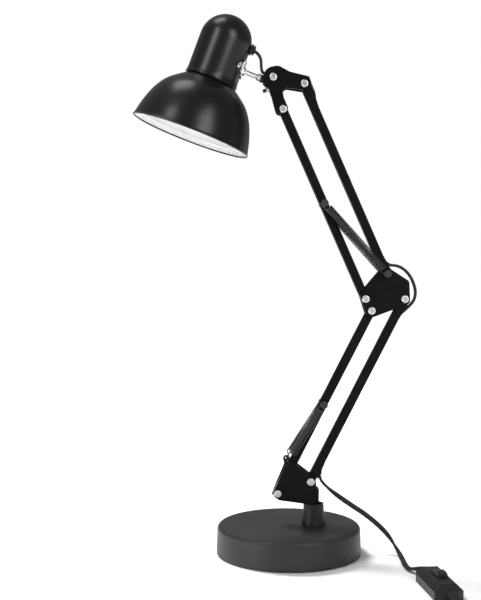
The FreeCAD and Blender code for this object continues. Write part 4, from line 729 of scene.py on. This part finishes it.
def head_route():
    """Out of the gland, down behind the stem, up over the swivel block and round to the upper arm."""
    start = in_shade(28.0, 104.0)
    drop = along(start, -20.5, (HEAD_DROP_X - start[0]) / math.cos(SHADE_TILT))
    turn_x = HEAD_DROP_X + HEAD_U_RADIUS
    reach = OVER_BLOCK_RADIUS + HEAD_U_RADIUS
    turn_at = (turn_x, TILT[1] + math.sqrt(reach ** 2 - (TILT[0] - turn_x) ** 2))
    climb = 90 - math.degrees(math.atan2(turn_at[1] - TILT[1], TILT[0] - turn_x))
    corner = on_arm(ELBOW_TOP, UPPER_LEAN, 6.2, ARM_LENGTH + 6.0)
    dx, dz = corner[0] - TILT[0], corner[1] - TILT[1]
    level = math.degrees(math.atan2(dz, dx) - math.asin(OVER_BLOCK_RADIUS / math.hypot(dx, dz)))
    dive = on_arm(ELBOW_TOP, UPPER_LEAN, 6.2, ARM_LENGTH - 12.5)
    round_turn = bend(turn_at, HEAD_U_RADIUS, -90, climb, 2)
    over_block = bend(TILT, OVER_BLOCK_RADIUS, climb, level)
    return [start, drop] + round_turn + over_block + [corner, between(corner, dive)]


def elbow_route():
    """Out of the upper arm, round the elbow's right side and into the lower arm."""
    inside, mouth = (0.6, ARM_LENGTH - 24.0), (7.9, ARM_LENGTH - 5.2)
    leave = [on_arm(ELBOW_TOP, UPPER_LEAN, *place) for place in ((0.6, 20.0), (6.0, 7.0))]
    enter = [on_arm(FOOT_RIGHT, LOWER_LEAN, *place) for place in (mouth, inside)]
    return [between(*leave, 0.7), leave[1]] + ELBOW_LOOP + [enter[0], between(*enter, 0.3)]


def coil_points():
    """The put-away turns: clockwise, inwards on the desk and out again on top of them."""
    turns = np.arange(0, 2 * COIL_TURNS + 0.25 + 1e-9, 1 / COIL_POINTS)
    radius = COIL_START - COIL_PITCH * (np.minimum(turns, COIL_TURNS) - np.maximum(turns - COIL_TURNS, 0))
    radius = radius / math.cos(math.pi / COIL_POINTS)
    angle = -2 * math.pi * turns
    height = DESK + COIL_LAYER * eased((turns - COIL_TURNS + 0.25) / 0.5)
    x, y = COIL_CENTRE[0] + radius * np.cos(angle), COIL_CENTRE[1] + radius * np.sin(angle)
    return np.stack((x, y, height), 1)


def switch_heading():
    """Direction of the switch's length on the desk."""
    return np.array((math.cos(SWITCH_HEADING), math.sin(SWITCH_HEADING), 0.0))


def free_route():
    """From the lower arm to the desk, through the switch, into the coil and on to the plug."""
    lower_end = on_arm(FOOT_RIGHT, LOWER_LEAN, 4.6, 14.0)
    start = between(lower_end, TO_SWITCH[0][::2])
    reaches = (-SWITCH_REACH - 12, -SWITCH_REACH, -12.0, 12.0, SWITCH_REACH, SWITCH_REACH + 15)
    stations = [SWITCH_CENTRE + switch_heading() * reach for reach in reaches]
    turns = coil_points()
    leaving = [tuple(turns[-1] - (12.0, 0, 0))]
    inlet = np.array(PLUG_INLET)
    return ([(start[0], 0.0, start[1])] + TO_SWITCH + [tuple(s) for s in stations] + TO_COIL
            + [tuple(p) for p in turns] + leaving + TO_PLUG + [tuple(inlet + (17.0, 0, 0)), tuple(inlet)])


class LAMP_OT_held_cords(bpy.types.Operator):
    """The cord's loops at the head and at the elbow, each piece across one joint."""

    bl_idname = "lamp.held_cords"
    bl_label = "Held cords"

    def execute(self, context):
        sizes = context.scene.lamp_sizes
        section = twin_section(sizes.cord_width, sizes.cord_thickness)
        loops = [("head_loop", head_route(), "head_cord", (0.0, 0.36, 0.66, 1.0),
                  (("shade", "swivel"), ("swivel", "head_bracket"), ("head_bracket", "upper_right_arm"))),
                 ("elbow_loop", elbow_route(), "elbow_cord", (0.0, 0.5, 1.0),
                  (("upper_right_arm", "elbow"), ("elbow", "lower_right_arm")))]
        for label, route, node, cuts, bodies in loops:
            points = [(x * MM, 0.0, z * MM) for x, z in route]
            path = spline_points(label, points, 10)
            distance = travelled(path)
            share = distance / distance[-1]
            grid = swept(path, section, (0, 1, 0))
            for number, pair in enumerate(bodies):
                low, high = np.searchsorted(share, cuts[number:number + 2])
                piece = surface("%s_%d" % (label, number + 1), grid[low:high + 1], materials=("cord_jacket",),
                                caps=True, weld=False, sharp=50.0)
                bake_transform(piece, *pair, start=tuple(path[low]), end=tuple(path[min(high, len(path) - 1)]))
                part = share[low:high + 1]
                weights_along(piece, len(section), eased((part - part[0]) / (part[-1] - part[0])))
                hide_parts(node)
        return {"FINISHED"}


def relief(label, path, section, first, last):
    """Tapered strain relief: the section grown by 1.75 falling to 1.15, with ribs past a fifth of it."""
    distance = travelled(path)
    share = np.linspace(0, 1, 60)
    stations = np.linspace(first, last, 60)
    line = np.stack([np.interp(stations, distance, path[:, k]) for k in range(3)], 1)
    ribs = 0.07 * np.sign(np.sin(share * math.pi * 16)) * (share > 0.2)
    growth = 1.75 - 0.6 * share + ribs
    piece = surface(label, swept(line, section, None, growth), materials=("moulded_black_plastic",),
                    caps=True, weld=False)
    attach(piece, "base")
    return piece


class LAMP_OT_free_cord(bpy.types.Operator):
    """The free twin cord from the lower arm over the desk to its plug, with its strain reliefs."""

    bl_idname = "lamp.free_cord"
    bl_label = "Free cord"

    def execute(self, context):
        sizes = context.scene.lamp_sizes
        section = twin_section(sizes.cord_width, sizes.cord_thickness)
        path = spline_points("free_cord_line", np.array(free_route()) * MM, 5)
        distance = travelled(path)
        side_on, side_off = (eased((distance / MM - at) / span) for at, span in (ROLL_IN, ROLL_OUT))
        grid = swept(path, section, None, roll=SIDE_ON * (side_on - side_off))
        split = int(np.searchsorted(distance, FOOT_SPAN * MM))
        first = surface("cord_from_arm", grid[:split + 1], materials=("cord_jacket",), caps=True, weld=False,
                        sharp=50.0)
        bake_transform(first, "lower_right_arm", "foot_bracket", start=tuple(path[0]), end=tuple(path[split]))
        weights_along(first, len(section), eased(distance[:split + 1] / distance[split]))
        rest = surface("cord_to_plug_whole", grid[split:], materials=("cord_jacket",), caps=True, weld=False,
                       sharp=50.0)
        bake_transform(rest, "foot_bracket", "base", start=tuple(path[split]), end=(0.1085, -0.008, 0.012))
        reach = distance[split:] - distance[split]
        weights_along(rest, len(section), eased(reach / (DROP_SPAN * MM)))
        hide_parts("cord_to_switch", "cord_to_coil", "cord_coil", "cord_to_plug")

        for label, side in (("switch_relief_in", -1), ("switch_relief_out", 1)):
            mouth = (SWITCH_CENTRE + switch_heading() * side * RELIEF_REACH) * MM
            start = distance[np.argmin(np.linalg.norm(path - mouth, axis=1))]
            relief(label, path, section, start, start + side * RELIEF_LENGTH * MM)
        near, far = (distance[-1] - reach * MM for reach in PLUG_RELIEF)
        relief("plug_relief", path, section, near, far)
        return {"FINISHED"}


class LAMP_OT_carried(bpy.types.Operator):
    """Finishes of the nodes that keep their CAD shape."""

    bl_idname = "lamp.carried"
    bl_label = "Carried nodes"

    def execute(self, context):
        for name, nodes in CARRIED.items():
            material = bpy.data.materials[name]
            for node in nodes:
                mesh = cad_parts[node].data
                mesh.materials.clear()
                mesh.materials.append(material)
        return {"FINISHED"}


# ---------------------------------------------------------------- stage
def softbox(name, place, target, size, power):
    """A rectangular white area light that faces a target."""
    light = bpy.data.lights.new(name, "AREA")
    light.shape = "RECTANGLE"
    light.size, light.size_y = size
    light.energy = power
    holder = bpy.data.objects.new(name, light)
    holder.location = place
    x, y, z = np.array(target) - np.array(place)
    holder.rotation_euler = (math.atan2(math.hypot(x, y), -z), 0, math.atan2(y, x) - math.pi / 2)
    bpy.context.scene.collection.objects.link(holder)
    return holder


def seen_white(tree, shader, near, far):
    """Adds white to a shader for camera, glossy and transmission rays, from near at the middle to far."""
    link = tree.links.new
    rays = add(tree, "LightPath")
    seen = add(tree, "Math", operation="MAXIMUM")
    link(rays.outputs["Is Camera Ray"], seen.inputs[0])
    link(rays.outputs["Is Glossy Ray"], seen.inputs[1])
    either = add(tree, "Math", operation="MAXIMUM")
    link(seen.outputs["Value"], either.inputs[0])
    link(rays.outputs["Is Transmission Ray"], either.inputs[1])
    place = add(tree, "TexCoord")
    distance = add(tree, "VectorMath", operation="LENGTH")
    link(place.outputs["Object"], distance.inputs[0])
    level = add(tree, "MapRange", interpolation_type="SMOOTHSTEP", from_min=0.35, from_max=1.6, to_min=near,
                to_max=far)
    link(distance.outputs["Value"], level.inputs["Value"])
    strength = add(tree, "Math", operation="MULTIPLY")
    link(level.outputs["Result"], strength.inputs[1])
    link(either.outputs["Value"], strength.inputs[0])
    glow = add(tree, "Emission")
    link(strength.outputs["Value"], glow.inputs["Strength"])
    total = add(tree, "AddShader")
    link(shader, total.inputs[0])
    link(glow.outputs["Emission"], total.inputs[1])
    return total.outputs["Shader"]


class LAMP_OT_stage(bpy.types.Operator):
    """White floor, soft lights and the camera at the photograph's angle."""

    bl_idname = "lamp.stage"
    bl_label = "Stage"

    def execute(self, context):
        scene = context.scene
        scene.view_settings.view_transform = "Standard"
        mesh = bpy.data.meshes.new("floor")
        reach = 12.0
        corners = [(-reach, -reach, 0), (reach, -reach, 0), (reach, reach, 0), (-reach, reach, 0)]
        mesh.from_pydata(corners, [], [(0, 1, 2, 3)])
        floor = bpy.data.objects.new("floor", mesh)
        scene.collection.objects.link(floor)
        material = bpy.data.materials.new("white_floor")
        material.use_nodes = True
        tree = material.node_tree
        shader = tree.nodes["Principled BSDF"]
        shader.inputs["Base Color"].default_value = (0.80, 0.80, 0.80, 1)
        shader.inputs["Roughness"].default_value = 0.9
        shader.inputs["Specular IOR Level"].default_value = 0.1
        output = tree.nodes["Material Output"]
        tree.links.new(seen_white(tree, shader.outputs["BSDF"], 0.0, 1.0), output.inputs["Surface"])
        mesh.materials.append(material)

        world = bpy.data.worlds.new("studio")
        scene.world = world
        world.use_nodes = True
        tree = world.node_tree
        background = tree.nodes["Background"]
        background.inputs["Color"].default_value = (1, 1, 1, 1)
        rays = add(tree, "LightPath")
        seen = add(tree, "Math", operation="MAXIMUM")
        tree.links.new(rays.outputs["Is Camera Ray"], seen.inputs[0])
        tree.links.new(rays.outputs["Is Transmission Ray"], seen.inputs[1])
        mirrored = add(tree, "Math", operation="MULTIPLY")
        mirrored.inputs[1].default_value = 0.12
        tree.links.new(rays.outputs["Is Glossy Ray"], mirrored.inputs[0])
        either = add(tree, "Math", operation="MAXIMUM")
        tree.links.new(seen.outputs["Value"], either.inputs[0])
        tree.links.new(mirrored.outputs["Value"], either.inputs[1])
        strength = add(tree, "MapRange", to_min=0.16, to_max=1.0)
        tree.links.new(either.outputs["Value"], strength.inputs["Value"])
        tree.links.new(strength.outputs["Result"], background.inputs["Strength"])

        softbox("key", (-1.0, -1.1, 1.35), (0.0, 0.0, 0.35), (0.45, 0.9), 10)
        softbox("side", (0.75, -1.25, 0.95), (0.0, 0.0, 0.40), (0.6, 0.9), 11)
        softbox("upper", (-0.35, 0.05, 1.7), (-0.05, 0.0, 0.5), (0.55, 0.55), 5)
        softbox("low", (-0.8, -0.5, 0.02), (-0.1, 0.0, 0.44), (0.5, 0.12), 2.4)
        shadow_maker = softbox("top", (-0.5, 0.55, 1.5), (0.05, -0.05, 0.0), (0.5, 0.5), 40)
        shadow_maker.visible_glossy = False

        data = bpy.data.cameras.new("camera")
        data.lens = 61.41
        data.sensor_fit = "VERTICAL"
        data.sensor_height = 36.0
        data.clip_start = 0.05
        camera = bpy.data.objects.new("camera", data)
        camera.location = (-0.0577, -1.0594, 0.2943)
        camera.rotation_euler = (math.radians(90 - 1.67), 0, math.radians(-0.41))
        scene.collection.objects.link(camera)
        scene.camera = camera
        return {"FINISHED"}


class LAMP_PT_panel(bpy.types.Panel):
    """Lists the lamp's steps in the sidebar."""

    bl_idname = "LAMP_PT_panel"
    bl_label = "Swing-arm desk lamp"
    bl_space_type = "VIEW_3D"
    bl_region_type = "UI"
    bl_category = "Lamp"

    def draw(self, context):
        for group in (context.scene.lamp_sizes, context.scene.lamp_colours):
            box = self.layout.box()
            for name in group.__annotations__:
                box.prop(group, name)
        for operator in OPERATORS:
            self.layout.operator(operator.bl_idname)


OPERATORS = (LAMP_OT_stage, LAMP_OT_free_cord, LAMP_OT_held_cords, LAMP_OT_shade, LAMP_OT_base, LAMP_OT_stem,
             LAMP_OT_springs, LAMP_OT_carried)
CLASSES = (LampSizes, LampColours) + OPERATORS + (LAMP_PT_panel,)


def register():
    for item in CLASSES:
        bpy.utils.register_class(item)
    bpy.types.Scene.lamp_sizes = bpy.props.PointerProperty(type=LampSizes)
    bpy.types.Scene.lamp_colours = bpy.props.PointerProperty(type=LampColours)


def unregister():
    del bpy.types.Scene.lamp_colours
    del bpy.types.Scene.lamp_sizes
    for item in reversed(CLASSES):
        bpy.utils.unregister_class(item)


def main():
    register()
    make_finishes(bpy.context.scene.lamp_colours)
    for step in (bpy.ops.lamp.stage, bpy.ops.lamp.free_cord, bpy.ops.lamp.held_cords, bpy.ops.lamp.shade,
                 bpy.ops.lamp.base, bpy.ops.lamp.stem, bpy.ops.lamp.springs, bpy.ops.lamp.carried):
        step()


if __name__ == "__main__":
    main()
